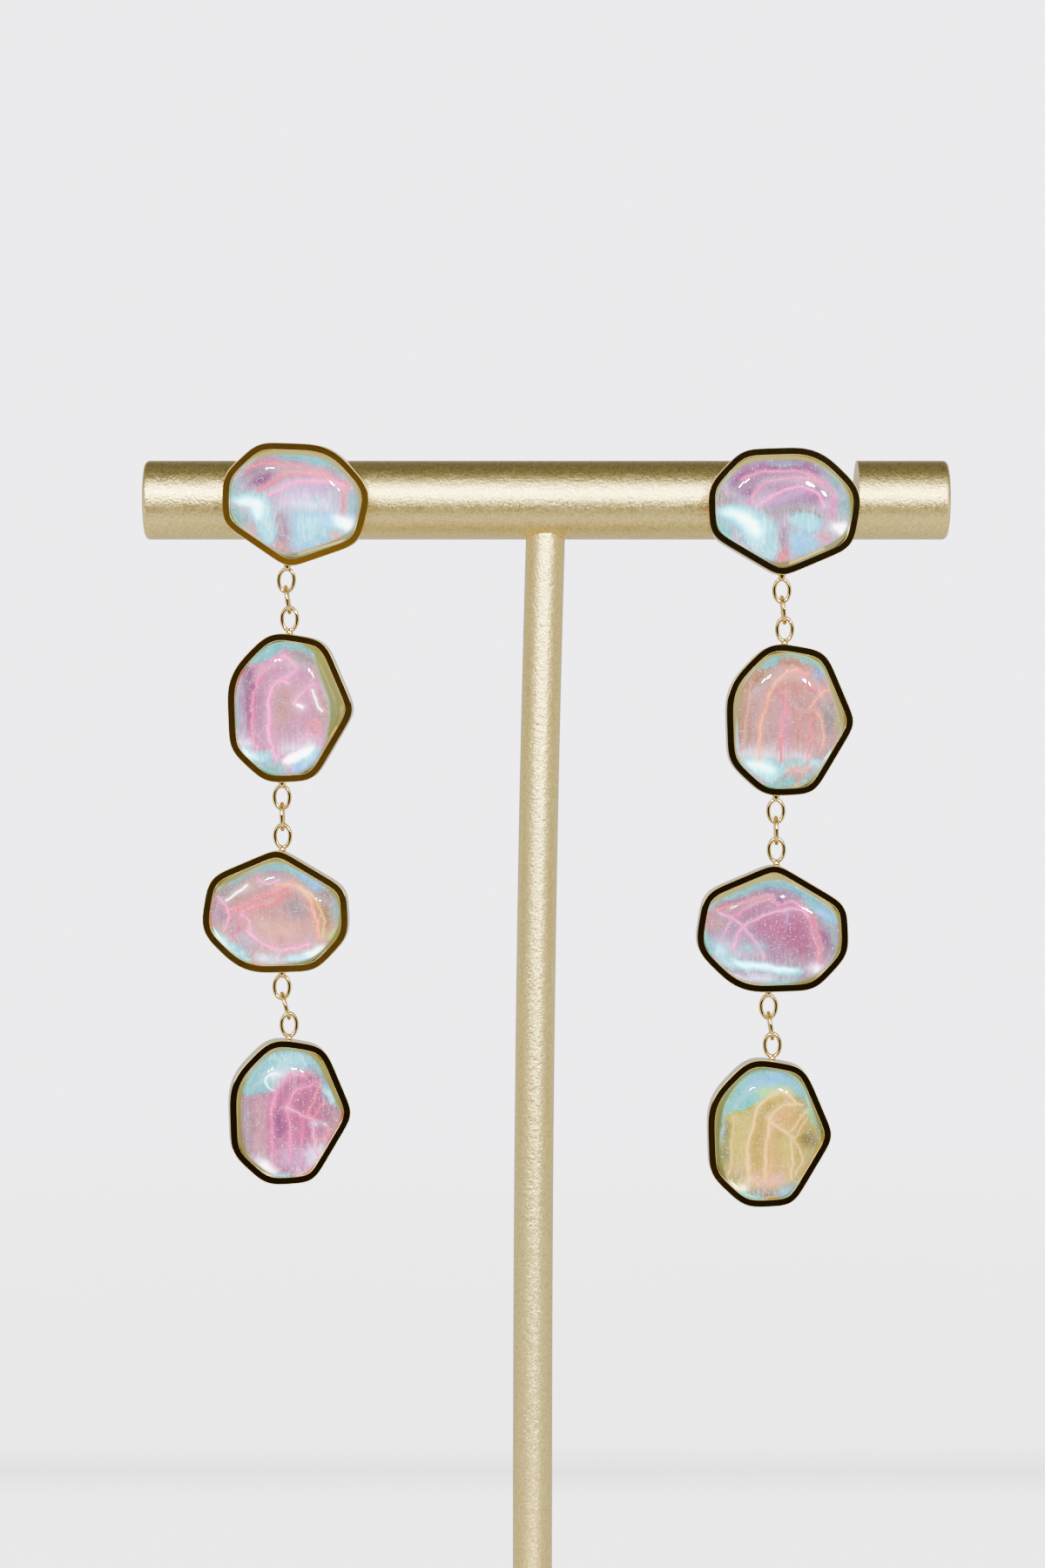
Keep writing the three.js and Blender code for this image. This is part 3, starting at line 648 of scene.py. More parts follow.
def outline(size, inset_of, steps):
    corners = inset_corners(size, inset_of)
    count = len(corners)
    points = []
    for i, corner in enumerate(corners):
        reach = CORNERS[i]["round"] * BEZEL_HEIGHT * size
        enter = corner + (corners[i - 1] - corner).normalized() * reach
        leave = corner + (corners[(i + 1) % count] - corner).normalized() * reach
        for step in range(steps + 1):
            t = step / steps
            points.append(enter * (1 - t) ** 2 + corner * (2 * t * (1 - t)) + leave * t**2)
    return points


def quarter_turned(points, turn):
    angle = turn * math.pi / 2
    cos, sin = round(math.cos(angle)), round(math.sin(angle))
    return [Vector((p.x * cos - p.y * sin, p.x * sin + p.y * cos)) for p in points]


def mellowed(points, reach, count):
    """The same closed outline with even steps and corners rounded over a reach, as wide and high."""
    flat = np.array([p[:] for p in points])
    ring = np.vstack([flat, flat[:1]])
    along = np.concatenate([[0], np.cumsum(np.hypot(*np.diff(ring, axis=0).T))])
    even = np.linspace(0, along[-1], count, endpoint=False)
    steps = np.column_stack([np.interp(even, along, ring[:, k]) for k in range(2)])
    gap = along[-1] / count
    offsets = np.arange(-count // 2, count // 2) * gap
    weights = np.fft.ifftshift(np.exp(-((offsets / reach) ** 2)))
    weights /= weights.sum()
    spread = np.fft.fft(weights)
    soft = np.column_stack([np.fft.ifft(np.fft.fft(steps[:, k]) * spread).real for k in range(2)])
    low, high = soft.min(axis=0), soft.max(axis=0)
    soft = (soft - low) / (high - low) * (flat.max(axis=0) - flat.min(axis=0)) + flat.min(axis=0)
    return [Vector(p) for p in soft]


def bezel_outline(row, steps=3):
    return quarter_turned(outline(row["size"], lambda corner: 0, steps), row["turn"])


def stone_outline(row, steps):
    def inset(corner):
        return RIM_LOOK + corner["gap"] * STONE_SIDE_GAP

    sharp = quarter_turned(outline(row["size"], inset, steps), row["turn"])
    return mellowed(sharp, STONE_ROUNDING, 20 * steps)


def room_outline(row):
    """The inside of the bezel's wall."""
    sharp = quarter_turned(outline(row["size"], lambda corner: RIM_LOOK + FOIL_GAP, 8), row["turn"])
    return mellowed(sharp, RIM_ROUNDING, 240)


def edge_height(row, x, side):
    points = bezel_outline(row)
    height = 0
    for a, b in zip(points, points[1:] + points[:1]):
        if (a.x - x) * (b.x - x) > 0 or a.x == b.x:
            continue
        z = a.y + (b.y - a.y) * (x - a.x) / (b.x - a.x)
        if z * side > height * side:
            height = z
    return height


def fixed_link_centre(row, share, side):
    x = share * BEZEL_LENGTH
    z = edge_height(row, x, side) + side * (SOLDER_LENGTH + FIXED_LINK_HEIGHT / 2)
    return Vector((x, -LINK_DEPTH, z))


def attitude(point, row):
    turn = Matrix.Rotation(math.radians(row.get("yaw", 0)), 4, "Z")
    turn @= Matrix.Rotation(math.radians(row.get("roll", 0)), 4, "Y")
    turn @= Matrix.Rotation(math.radians(row.get("pitch", 0)), 4, "X")
    return Matrix.Translation(point) @ turn


def stud_place(spec):
    above = POST_CLEARANCE + POST_DIAMETER / 2
    pitch = math.radians(spec["bezels"][0]["pitch"])
    forward = (BAR_DIAMETER / 2 + STUD_CLEARANCE + math.sin(pitch) * above) / math.cos(pitch)
    return Vector((spec["sign"] * (NOTCH_INNER_END + spec["post_inset"]), -forward, BAR_HEIGHT + above))


def hanging_places():
    """Where each bezel, loose link and ear back hangs, in millimetres, by its label."""
    places = {}
    grip = LINK_WIRE + LINK_CLEARANCE
    for spec in EARRINGS:
        hook = None
        for i, row in enumerate(spec["bezels"]):
            label = bezel_label(spec["side"], i + 1)
            place = {"row": row, "side": spec["side"], "number": i + 1, "spec": spec}
            if i == 0:
                stud = attitude(stud_place(spec), row)
                place["stud"] = stud
                holder = stud @ Matrix.Translation((0, 0, -spec["post_rise"]))
            else:
                top = hook + Vector((0, 0, grip))
                lean = math.asin(row["lean"])
                facing = (row.get("yaw", 0) + spec["bezels"][i - 1].get("yaw", 0)) / 2
                reach = LOOSE_LINK_HEIGHT - LINK_WIRE
                link = Matrix.Translation(top) @ Matrix.Rotation(-lean, 4, "Y")
                middle = Matrix.Translation((0, 0, -reach / 2))
                place["link"] = link @ middle @ Matrix.Rotation(math.radians(90 + facing), 4, "Z")
                wire = link @ Vector((0, 0, -reach)) + Vector((0, 0, grip))
                hold = fixed_link_centre(row, row["top"], 1)
                hold.z += (FIXED_LINK_HEIGHT - LINK_WIRE) / 2
                holder = attitude(wire, row) @ Matrix.Translation(-hold)
            place["bezel"] = holder
            if "bottom" in row:
                bottom = fixed_link_centre(row, row["bottom"], -1)
                bottom.z -= (FIXED_LINK_HEIGHT - LINK_WIRE) / 2
                hook = holder @ bottom
            places[label] = place
    return places


# Pieces are shaped in millimetres in their own frame, and then put in their place in metres.
def finished(bm, name, place, material, flat_depth=None):
    for face in bm.faces:
        face.smooth = flat_depth is None or any(abs(vert.co.y + flat_depth) > NEAR for vert in face.verts)
    bmesh.ops.transform(bm, matrix=Matrix.Scale(MM, 4) @ place, verts=bm.verts)
    for edge in bm.edges:
        edge.smooth = edge.calc_face_angle(0) < SHARP_ANGLE
    mesh = bpy.data.meshes.new(name)
    bm.to_mesh(mesh)
    bm.free()
    mesh.materials.append(material)
    piece = bpy.data.objects.new(name, mesh)
    bpy.context.scene.collection.objects.link(piece)
    return piece


def weighted(piece):
    """Shades the piece's large faces flat and its small ones round."""
    crisp = piece.modifiers.new("Crisp faces", "WEIGHTED_NORMAL")
    crisp.mode = "FACE_AREA_WITH_ANGLE"
    crisp.keep_sharp = True


def joined(target, source, matrix):
    """Adds a copy of the source shape to the target at a place, and frees the source."""
    bmesh.ops.transform(source, matrix=matrix, verts=source.verts)
    mesh = bpy.data.meshes.new("part")
    source.to_mesh(mesh)
    source.free()
    target.from_mesh(mesh)
    bpy.data.meshes.remove(mesh)


def face_from(bm, points, depth):
    """A flat face of 2D points at a depth in front of the origin, facing the front."""
    corners = [bm.verts.new((p.x, -depth, p.y)) for p in points]
    return bm.faces.new(corners)


def pulled(bm, face, move=(0, 0, 0), keep=False):
    """Extrudes one face by a vector and returns the new end face. The old face stays only as a cap."""
    made = bmesh.ops.extrude_face_region(bm, geom=[face])["geom"]
    if not keep:
        bmesh.ops.delete(bm, geom=[face], context="FACES_ONLY")
    end = [g for g in made if isinstance(g, bmesh.types.BMFace)][0]
    bmesh.ops.translate(bm, vec=move, verts=list(end.verts))
    return end


def spun(bm, axis, steps):
    """Turns the whole profile once round an axis through the origin."""
    profile = bm.verts[:] + bm.edges[:]
    turn = 2 * math.pi
    bmesh.ops.spin(bm, geom=profile, cent=(0, 0, 0), axis=axis, angle=turn, steps=steps, use_merge=True)
    bmesh.ops.remove_doubles(bm, verts=bm.verts, dist=NEAR)


def rounded(bm, edges, size, segments):
    """Rounds edges over."""
    bmesh.ops.bevel(
        bm, geom=edges, offset=size, segments=segments, profile=0.5, affect="EDGES", material=-1
    )


def cup(row, steps, edge_round):
    """The bezel: a plate with a room for the stone, its edges softened."""
    bm = bmesh.new()
    back = face_from(bm, mellowed(bezel_outline(row, steps), RIM_ROUNDING, 18 * steps), 0)
    front = pulled(bm, back, (0, -BEZEL_DEPTH, 0), keep=True)
    bmesh.ops.inset_region(bm, faces=[front], thickness=RIM_LOOK, use_even_offset=True)
    rim = [edge for edge in bm.edges if all(abs(v.co.y + BEZEL_DEPTH) < LEVEL for v in edge.verts)]
    rim = [edge for edge in rim if len(edge.link_faces) == 2]
    pulled(bm, front, (0, BEZEL_DEPTH - BEZEL_BACK, 0))
    loops = [edge for edge in rim if edge.is_valid and edge.calc_face_angle(0) > RIM_ANGLE]
    loops += [edge for edge in bm.edges if all(abs(v.co.y) < LEVEL for v in edge.verts)]
    bmesh.ops.recalc_face_normals(bm, faces=bm.faces)
    rounded(bm, list(set(loops)), edge_round, 2)
    return bm


def oval(height, sides):
    """An oval link with its centre at the origin, face-on to the front."""
    bm = bmesh.new()
    middle = Matrix.Translation(((LINK_WIDTH - LINK_WIRE) / 2, 0, 0))
    ring = bmesh.ops.create_circle(bm, segments=sides, radius=WIRE_LOOK / 2)["verts"]
    start = Matrix.Rotation(math.pi / LINK_STEPS, 4, "Y")
    bmesh.ops.transform(bm, matrix=start @ middle, verts=ring)
    spun(bm, (0, 1, 0), LINK_STEPS)
    stretch = (height - LINK_WIDTH) / 2
    for vert in bm.verts:
        vert.co.z += stretch * vert.co.z / math.hypot(vert.co.x, vert.co.z)
    bmesh.ops.recalc_face_normals(bm, faces=bm.faces)
    return bm


def solder(side):
    """A small drop of solder with its middle at the origin, its foot spread on the bezel's wall."""
    bm = bmesh.new()
    bmesh.ops.create_uvsphere(bm, u_segments=16, v_segments=10, radius=1)
    for vert in bm.verts:
        spread = 1 + SOLDER_FOOT * max(0, -side * vert.co.z)
        wide, deep, high = SOLDER_RADII
        vert.co = Vector((vert.co.x * wide * spread, vert.co.y * deep * spread, vert.co.z * high))
    return bm


def rod_between(start, end, diameter, sides):
    """A round rod between two points."""
    bm = bmesh.new()
    axis = end - start
    place = Matrix.Translation((start + end) / 2) @ axis.to_track_quat("Z", "Y").to_matrix().to_4x4()
    bmesh.ops.create_cone(
        bm,
        cap_ends=True,
        segments=sides,
        radius1=diameter / 2,
        radius2=diameter / 2,
        depth=axis.length,
        matrix=place,
    )
    rounded(bm, [edge for edge in bm.edges if edge.calc_face_angle(0) > END_ANGLE], diameter * POST_EDGE, 3)
    return bm


def ear_back_shape(sides):
    """A friction nut turned about Y: a dished flange in front and a hub behind it."""
    bm = bmesh.new()
    hole = POST_DIAMETER / 2 + POST_CLEARANCE
    profile = ((hole, 0), *NUT_FLANGE, *NUT_HUB, (hole, EAR_BACK_DEPTH))
    verts = [bm.verts.new((radius, y, 0)) for radius, y in profile]
    for pair in zip(verts, verts[1:] + verts[:1]):
        bm.edges.new(pair)
    spun(bm, (0, 1, 0), sides)
    bmesh.ops.recalc_face_normals(bm, faces=bm.faces)
    return bm


def section_at(t):
    """The stone's section at t from 0 at its back to 1 at the top: a smooth curve through its table."""
    last = len(STONE_SECTION) - 1
    place = t * last
    i = min(int(place), last - 1)
    f = place - i
    before = STONE_SECTION[max(i - 1, 0)]
    a, b = STONE_SECTION[i], STONE_SECTION[i + 1]
    after = STONE_SECTION[min(i + 2, last)]
    values = []
    for k in range(2):
        m0 = (b[k] - before[k]) / 2
        m1 = (after[k] - a[k]) / 2
        h = (2 * f**3 - 3 * f**2 + 1) * a[k] + (f**3 - 2 * f**2 + f) * m0
        values.append(h + (3 * f**2 - 2 * f**3) * b[k] + (f**3 - f**2) * m1)
    return max(0.0, values[0]), values[1]


def glass_body(row, steps):
    """The clear stone, pulled ring by ring from its flat back to its domed front."""
    bm = bmesh.new()
    points = stone_outline(row, steps)
    inset, rise = section_at(0)
    start = [p * (1 - inset) for p in points]
    back_depth = BEZEL_BACK + STONE_BACK_GAP
    back = face_from(bm, start, back_depth)
    face = back
    last_scale, last_rise = 1 - inset, rise
    for ring in range(1, STONE_RINGS):
        inset, rise = section_at(ring / STONE_RINGS)
        scale = 1 - inset
        face = pulled(bm, face, keep=ring == 1)
        ratio = scale / last_scale
        for vert in face.verts:
            vert.co.x *= ratio
            vert.co.z *= ratio
            vert.co.y -= (rise - last_rise) * STONE_THICKNESS
        last_scale, last_rise = scale, rise
    made = bmesh.ops.poke(bm, faces=[face])
    for vert in made["verts"]:
        vert.co.y = -(back_depth + STONE_THICKNESS)
    bmesh.ops.recalc_face_normals(bm, faces=bm.faces)
    return bm


# The camera's film: scene light against how bright a grey shows on screen, 0 to 255.
FILM = (
    (0.0003, 0.5), (0.002, 3), (0.005, 9), (0.01, 18), (0.02, 32), (0.05, 58), (0.1, 87),
    (0.18, 118), (0.3, 145), (0.5, 170), (0.83, 190), (1, 197), (1.5, 209), (2, 217), (3, 227),
    (4, 233), (6, 241), (8, 245), (13, 250),
)
FILM_INSET = ((0.8566, 0.0951, 0.0483), (0.1373, 0.7612, 0.1014), (0.1119, 0.0768, 0.8113))
FILM_OUTSET = ((1.1271, -0.1106, -0.0165), (-0.1413, 1.1578, -0.0165), (-0.1413, -0.1106, 1.2519))
DARKEST = 0.06  # a channel's least share of the brightest one
BRIGHTEST = 9
WIDE = ((0.6274, 0.3293, 0.0433), (0.0691, 0.9195, 0.0114), (0.0164, 0.088, 0.8956))


def screen_light(shown):
    return np.where(shown > 0.04045, ((shown + 0.055) / 1.055) ** 2.4, shown / 12.92)


def scene_light(shown):
    """The scene light that shows as these screen colours, 0 to 1, so that tints can be named as seen."""
    wide, inset, outset = (np.array(m) for m in (WIDE, FILM_INSET, FILM_OUTSET))
    light = np.log([pair[0] for pair in FILM])
    value = screen_light(np.array([pair[1] for pair in FILM]) / 255) ** (1 / 2.4)
    film = np.clip(screen_light(shown) @ wide.T, 0, None) ** (1 / 2.4)
    film = np.clip(film @ np.linalg.inv(outset).T, value[0], value[-1])
    scene = np.exp(np.interp(film, value, light))
    scene = scene @ np.linalg.inv(inset).T @ np.linalg.inv(wide).T
    return np.clip(scene, DARKEST * scene.max(axis=1, keepdims=True), BRIGHTEST)


def near_curve(x, z, points):
    """How far each point lies from a bent line, in the same unit."""
    best = np.full(x.shape, 1e9)
    for (ax, az), (bx, bz) in zip(points, points[1:]):
        dx, dz = bx - ax, bz - az
        t = np.clip(((x - ax) * dx + (z - az) * dz) / (dx * dx + dz * dz), 0, 1)
        best = np.minimum(best, np.hypot(x - ax - t * dx, z - az - t * dz))
    return best


def softened(points, rounds=2, closed=False):
    """The same bent line with its corners cut, so that it runs as a curve."""
    for _ in range(rounds):
        ends = points if closed else points[:-1]
        cut = [] if closed else [points[0]]
        for i, a in enumerate(ends):
            b = points[(i + 1) % len(points)]
            cut.append((a[0] * 0.75 + b[0] * 0.25, a[1] * 0.75 + b[1] * 0.25))
            cut.append((a[0] * 0.25 + b[0] * 0.75, a[1] * 0.25 + b[1] * 0.75))
        if not closed:
            cut.append(points[-1])
        points = cut
    return points


def within(u, v, points, soft):
    """1 inside a rounded outline and 0 outside it, with a soft edge."""
    points = softened(points, closed=True)
    inside = np.zeros(u.shape, dtype=bool)
    for (ax, az), (bx, bz) in zip(points, points[1:] + points[:1]):
        if az == bz:
            continue
        crosses = (az > v) != (bz > v)
        inside ^= crosses & (u < ax + (v - az) * (bx - ax) / (bz - az))
    distance = near_curve(u, v, points + points[:1])
    return 1 / (1 + np.exp(-np.clip(np.where(inside, distance, -distance) * 2.2 / soft, -40, 40)))


# How far an area's edge is softened, the tints of painted glare that get bright painted streaks, and those of
# the lines painted onto the rim's band, itself a painted reflection of the bezel's wall.
SPREAD = 1.5
SPREADS = {"white": 1.8}
GLARE_TINTS = ("white", "aqua", "frost")
BAND_TINTS = ("yellow", "bronze")
GLARE_SOFTNESS = 0.16
EDGE_SOFTNESS = 0.015
# The painted sheen: a thin painted highlight along the band's inner edge.
SHEEN_STRENGTH = 0.45
SHEEN_REACH = 0.09  # millimetres


def tint(name):
    return np.array(TINTS[name]) / 255


def points_of(shares):
    """Pairs up a flat row of numbers."""
    return list(zip(shares[::2], shares[1::2]))


def drawn(rows, measures):
    """A foil's rows with their hundredths as tint, measures and points."""
    for name, *numbers in rows:
        values = [number / 100 for number in numbers]
        yield name, *values[:measures], points_of(values[measures:])


def painted(u, v, half, label):
    """The foil's colours at each of its points, painted reflections and highlights among them, how much
    painted glare lies there, and how far it stands up.
    """

    def measured(points):
        return [(a * half[0], b * half[1]) for a, b in points]

    table = FOILS[label]
    areas, strokes = list(drawn(table["areas"], 1)), list(drawn(table["lines"], 2))
    edge = points_of([number / 100 for number in table["edge"]])
    drift = sum(map(ord, label))
    warped_u = u + 0.012 * np.sin(13 * v + drift) + 0.007 * np.sin(31 * v - 11 * u)
    warped_v = v + 0.012 * np.sin(11 * u + 2 * drift) + 0.007 * np.sin(27 * u + 9 * v)
    tones = np.tile(tint(table["base"]), (len(u), 1))
    frost = np.zeros(u.shape)
    for name, soft, points in areas:
        cover = within(warped_u, warped_v, points, soft * SPREADS.get(name, SPREAD))
        tones += (tint(name) - tones) * cover[:, None]
        # Glare tints mark where bright painted streaks go.
        if name in GLARE_TINTS:
            frost = np.maximum(frost, within(u, v, points, GLARE_SOFTNESS))
    relief = np.zeros(u.shape)
    for name, width, strength, points in strokes:
        curve = measured(softened(points))
        away = near_curve(warped_u * half[0], warped_v * half[1], curve) / (width / 2)
        halo, core = 0.4 * np.exp(-(away**2) * 0.2), np.exp(-(away**2) * 4.5)
        cover = np.clip(strength * (halo + core), 0, 1)
        tones += (tint(name) - tones) * cover[:, None]
        relief = np.maximum(relief, strength * width * np.exp(-(away**2)))
    inner = within(u, v, edge, EDGE_SOFTNESS)
    # The band round the edge is a painted reflection of the bezel's gold wall, painted lighter towards the
    # top, with lines painted onto it.
    band = np.tile(tint(table["band"]), (len(u), 1)) * (0.9 + 0.1 * np.clip(v, -1, 1))[:, None]
    for name, width, strength, points in strokes:
        if name in BAND_TINTS:
            away = near_curve(u * half[0], v * half[1], measured(softened(points)))
            cover = strength * np.exp(-((away * 2 / width) ** 2))
            band += (tint(name) - band) * cover[:, None]
    tones = band + (tones - band) * inner[:, None]
    # A painted highlight: a thin sheen line along the band's inner edge.
    rim = near_curve(u * half[0], v * half[1], measured(softened(edge, closed=True)))
    sheen = SHEEN_STRENGTH * np.exp(-((rim / SHEEN_REACH) ** 2))
    tones += (tint("sheen") - tones) * sheen[:, None]
    return tones, frost * inner, relief * inner, inner


def foil_sheet(row, cells, label):
    """The foil behind the glass: a fine sheet shaped to the stone's back, with its pattern, painted
    reflections and highlights among them, as colours.
    """
    bm = bmesh.new()
    bmesh.ops.create_grid(bm, x_segments=cells, y_segments=cells, size=1)
    bm.verts.ensure_lookup_table()
    flat = np.array([v.co[:2] for v in bm.verts])
    a, b = flat[:, 0], flat[:, 1]
    x = a * np.sqrt(1 - b * b / 2)
    z = b * np.sqrt(1 - a * a / 2)
    radius = np.hypot(x, z)
    angle = np.arctan2(z, x)
    points = np.array([p[:] for p in room_outline(row)])
    bearing = np.arctan2(points[:, 1], points[:, 0])
    order = np.argsort(bearing)
    reach = np.interp(angle, bearing[order], np.hypot(*points.T)[order], period=2 * math.pi)
    px = np.cos(angle) * radius * reach
    pz = np.sin(angle) * radius * reach
    rise = np.interp(radius, *zip(*FOIL_RISE))
    depth = BEZEL_BACK + STONE_BACK_GAP + FOIL_DEPTH + rise * STONE_THICKNESS
    sides = (BEZEL_LENGTH, BEZEL_HEIGHT) if row["turn"] % 2 == 0 else (BEZEL_HEIGHT, BEZEL_LENGTH)
    wall = RIM_LOOK + STONE_SIDE_GAP
    half = [side * row["size"] / 2 - wall for side in sides]
    tones, frost, relief, inner = painted(px / half[0], pz / half[1], half, label)
    # The colours become the light the foil gives off, a painted glow.
    light = scene_light(tones)
    for i, vert in enumerate(bm.verts):
        vert.co = (px[i], -(depth[i] + FOIL_RELIEF * relief[i]), pz[i])
    bmesh.ops.recalc_face_normals(bm, faces=bm.faces)
    if sum(face.normal.y for face in bm.faces) > 0:
        bmesh.ops.reverse_faces(bm, faces=bm.faces)
    paint = bm.verts.layers.float_color.new("Paint")
    # Finish holds where the painted glare lies, how far the relief stands up, and the inside of the band's
    # edge.
    glare_and_relief = bm.verts.layers.float_color.new("Finish")
    for i, vert in enumerate(bm.verts):
        vert[paint] = (*light[i], 1)
        vert[glare_and_relief] = (frost[i], relief[i], inner[i], 1)
    bmesh.ops.solidify(bm, geom=list(bm.faces), thickness=FOIL_THICKNESS)
    return bm


# Materials
class Nodes:
    """The node tree of a material or the world, built one node at a time."""

    def __init__(self, owner):
        owner.use_nodes = True
        self.owner = owner
        self.tree = owner.node_tree
        self.tree.nodes.clear()

    def add(self, kind, **values):
        node = self.tree.nodes.new(kind)
        for key, value in values.items():
            setattr(node, key, value)
        return node

    def link(self, source, target):
        self.tree.links.new(source, target)

    def put(self, socket, value):
        if isinstance(value, bpy.types.NodeSocket):
            self.link(value, socket)
        else:
            socket.default_value = value

    def math(self, operation, a, b=0.0, clamp=False):
        node = self.add("ShaderNodeMath", operation=operation, use_clamp=clamp)
        self.put(node.inputs[0], a)
        self.put(node.inputs[1], b)
        return node.outputs[0]

    def mix(self, factor, a, b, blend="MIX"):
        node = self.add("ShaderNodeMix", data_type="RGBA", blend_type=blend)
        self.put(node.inputs["Factor"], factor)
        self.put(node.inputs["A"], a)
        self.put(node.inputs["B"], b)
        return node.outputs["Result"]

    def times(self, a, b, clamp=False):
        return self.math("MULTIPLY", a, b, clamp)

    def plus(self, a, b):
        return self.math("ADD", a, b)

    def minus(self, a, b):
        return self.math("SUBTRACT", a, b)

    def scaled(self, colour, times):
        node = self.add("ShaderNodeVectorMath", operation="SCALE")
        self.link(colour, node.inputs[0])
        self.put(node.inputs["Scale"], times)
        return node.outputs["Vector"]

    def place(self):
        return self.add("ShaderNodeTexCoord").outputs["Object"]

    def sparkle(self, vector, scale, size, rarity):
        """Small round specks: 1 on a speck and 0 elsewhere."""
        cells = self.add("ShaderNodeTexVoronoi", feature="F1")
        self.link(vector, cells.inputs["Vector"])
        cells.inputs["Scale"].default_value = scale
        chance = self.add("ShaderNodeSeparateColor")
        self.link(cells.outputs["Color"], chance.inputs[0])
        near = self.math("LESS_THAN", cells.outputs["Distance"], size)
        return self.math("MULTIPLY", near, self.math("GREATER_THAN", chance.outputs[0], rarity))

    def noise(self, vector, scale, detail=2.0, roughness=0.5):
        node = self.add("ShaderNodeTexNoise")
        self.link(vector, node.inputs["Vector"])
        node.inputs["Scale"].default_value = scale
        node.inputs["Detail"].default_value = detail
        node.inputs["Roughness"].default_value = roughness
        return node.outputs["Fac"]

    def ramp(self, factor, stops):
        """A colour ramp. A stop's colour is a tuple, or one number for a grey."""
        node = self.add("ShaderNodeValToRGB")
        elements = node.color_ramp.elements
        while len(elements) < len(stops):
            elements.new(1.0)
        for element, (position, colour) in zip(elements, stops):
            element.position = position
            element.color = (*colour, 1) if isinstance(colour, tuple) else (colour, colour, colour, 1)
        self.link(factor, node.inputs["Fac"])
        return node.outputs["Color"]

    def bump(self, height, strength, distance):
        node = self.add("ShaderNodeBump")
        node.inputs["Strength"].default_value = strength
        node.inputs["Distance"].default_value = distance
        self.link(height, node.inputs["Height"])
        return node.outputs["Normal"]

    def principled(self, **values):
        node = self.add("ShaderNodeBsdfPrincipled")
        for name, value in values.items():
            self.put(node.inputs[name.replace("_", " ")], value)
        output = self.add("ShaderNodeOutputMaterial")
        self.link(node.outputs[0], output.inputs["Surface"])
        return node


def satin_gold(colour):
    made = Nodes(bpy.data.materials.new("Satin gold"))
    place = made.place()
    grain = made.noise(place, 3800, 3, 0.65)
    coarse = made.noise(place, 1700, 2)
    cloud = made.noise(place, 60, 2)
    dark = (colour[0] * 0.8, colour[1] * 0.78, colour[2] * 0.74)
    light = (min(1, colour[0] * 1.18), min(1, colour[1] * 1.2), min(1, colour[2] * 1.3))
    tone = made.ramp(grain, ((0.36, dark), (0.64, light)))
    tone = made.mix(made.times(cloud, 0.3), tone, (*colour, 1))
    rough = made.plus(made.times(coarse, 0.16), 0.23)
    height = made.plus(grain, made.times(coarse, 0.6))
    made.principled(
        Base_Color=tone,
        Metallic=1.0,
        Roughness=rough,
        Normal=made.bump(height, 0.75, 0.00008),
    )
    return made.owner


def polished_gold(colour):
    made = Nodes(bpy.data.materials.new("Polished gold"))
    place = made.place()
    wave = made.noise(place, 420, 2)
    scratch = made.noise(place, 5200, 2, 0.7)
    tone = made.mix(wave, (*colour, 1), (colour[0] * 0.96, colour[1] * 0.9, colour[2] * 0.8, 1))
    rough = made.plus(made.times(scratch, 0.05), 0.03)
    height = made.plus(wave, made.times(scratch, 0.05))
    made.principled(
        Base_Color=tone,
        Metallic=1.0,
        Roughness=rough,
        Normal=made.bump(height, 0.1, 0.00006),
    )
    return made.owner


def clear_glass():
    made = Nodes(bpy.data.materials.new("Clear glass"))
    place = made.place()
    wave = made.noise(place, 260, 1)
    made.principled(
        Base_Color=(1, 1, 1, 1),
        Roughness=0.0,
        IOR=1.05,
        Transmission_Weight=1.0,
        Coat_Weight=1.0,
        Coat_Roughness=0.015,
        Coat_IOR=1.45,
        Normal=made.bump(wave, 0.2, 0.0003),
        Coat_Normal=made.bump(wave, 0.2, 0.00006),
    )
    return made.owner


# Colours brighter than white, painted light on the foil: streaks over the painted glare, and painted glints
# on its glitter specks.
GLARE_STREAK = (5.0, 6.4, 6.8, 1)
SPARK = (6, 6, 6.4, 1)
GLINT = (4, 4, 4.2, 1)


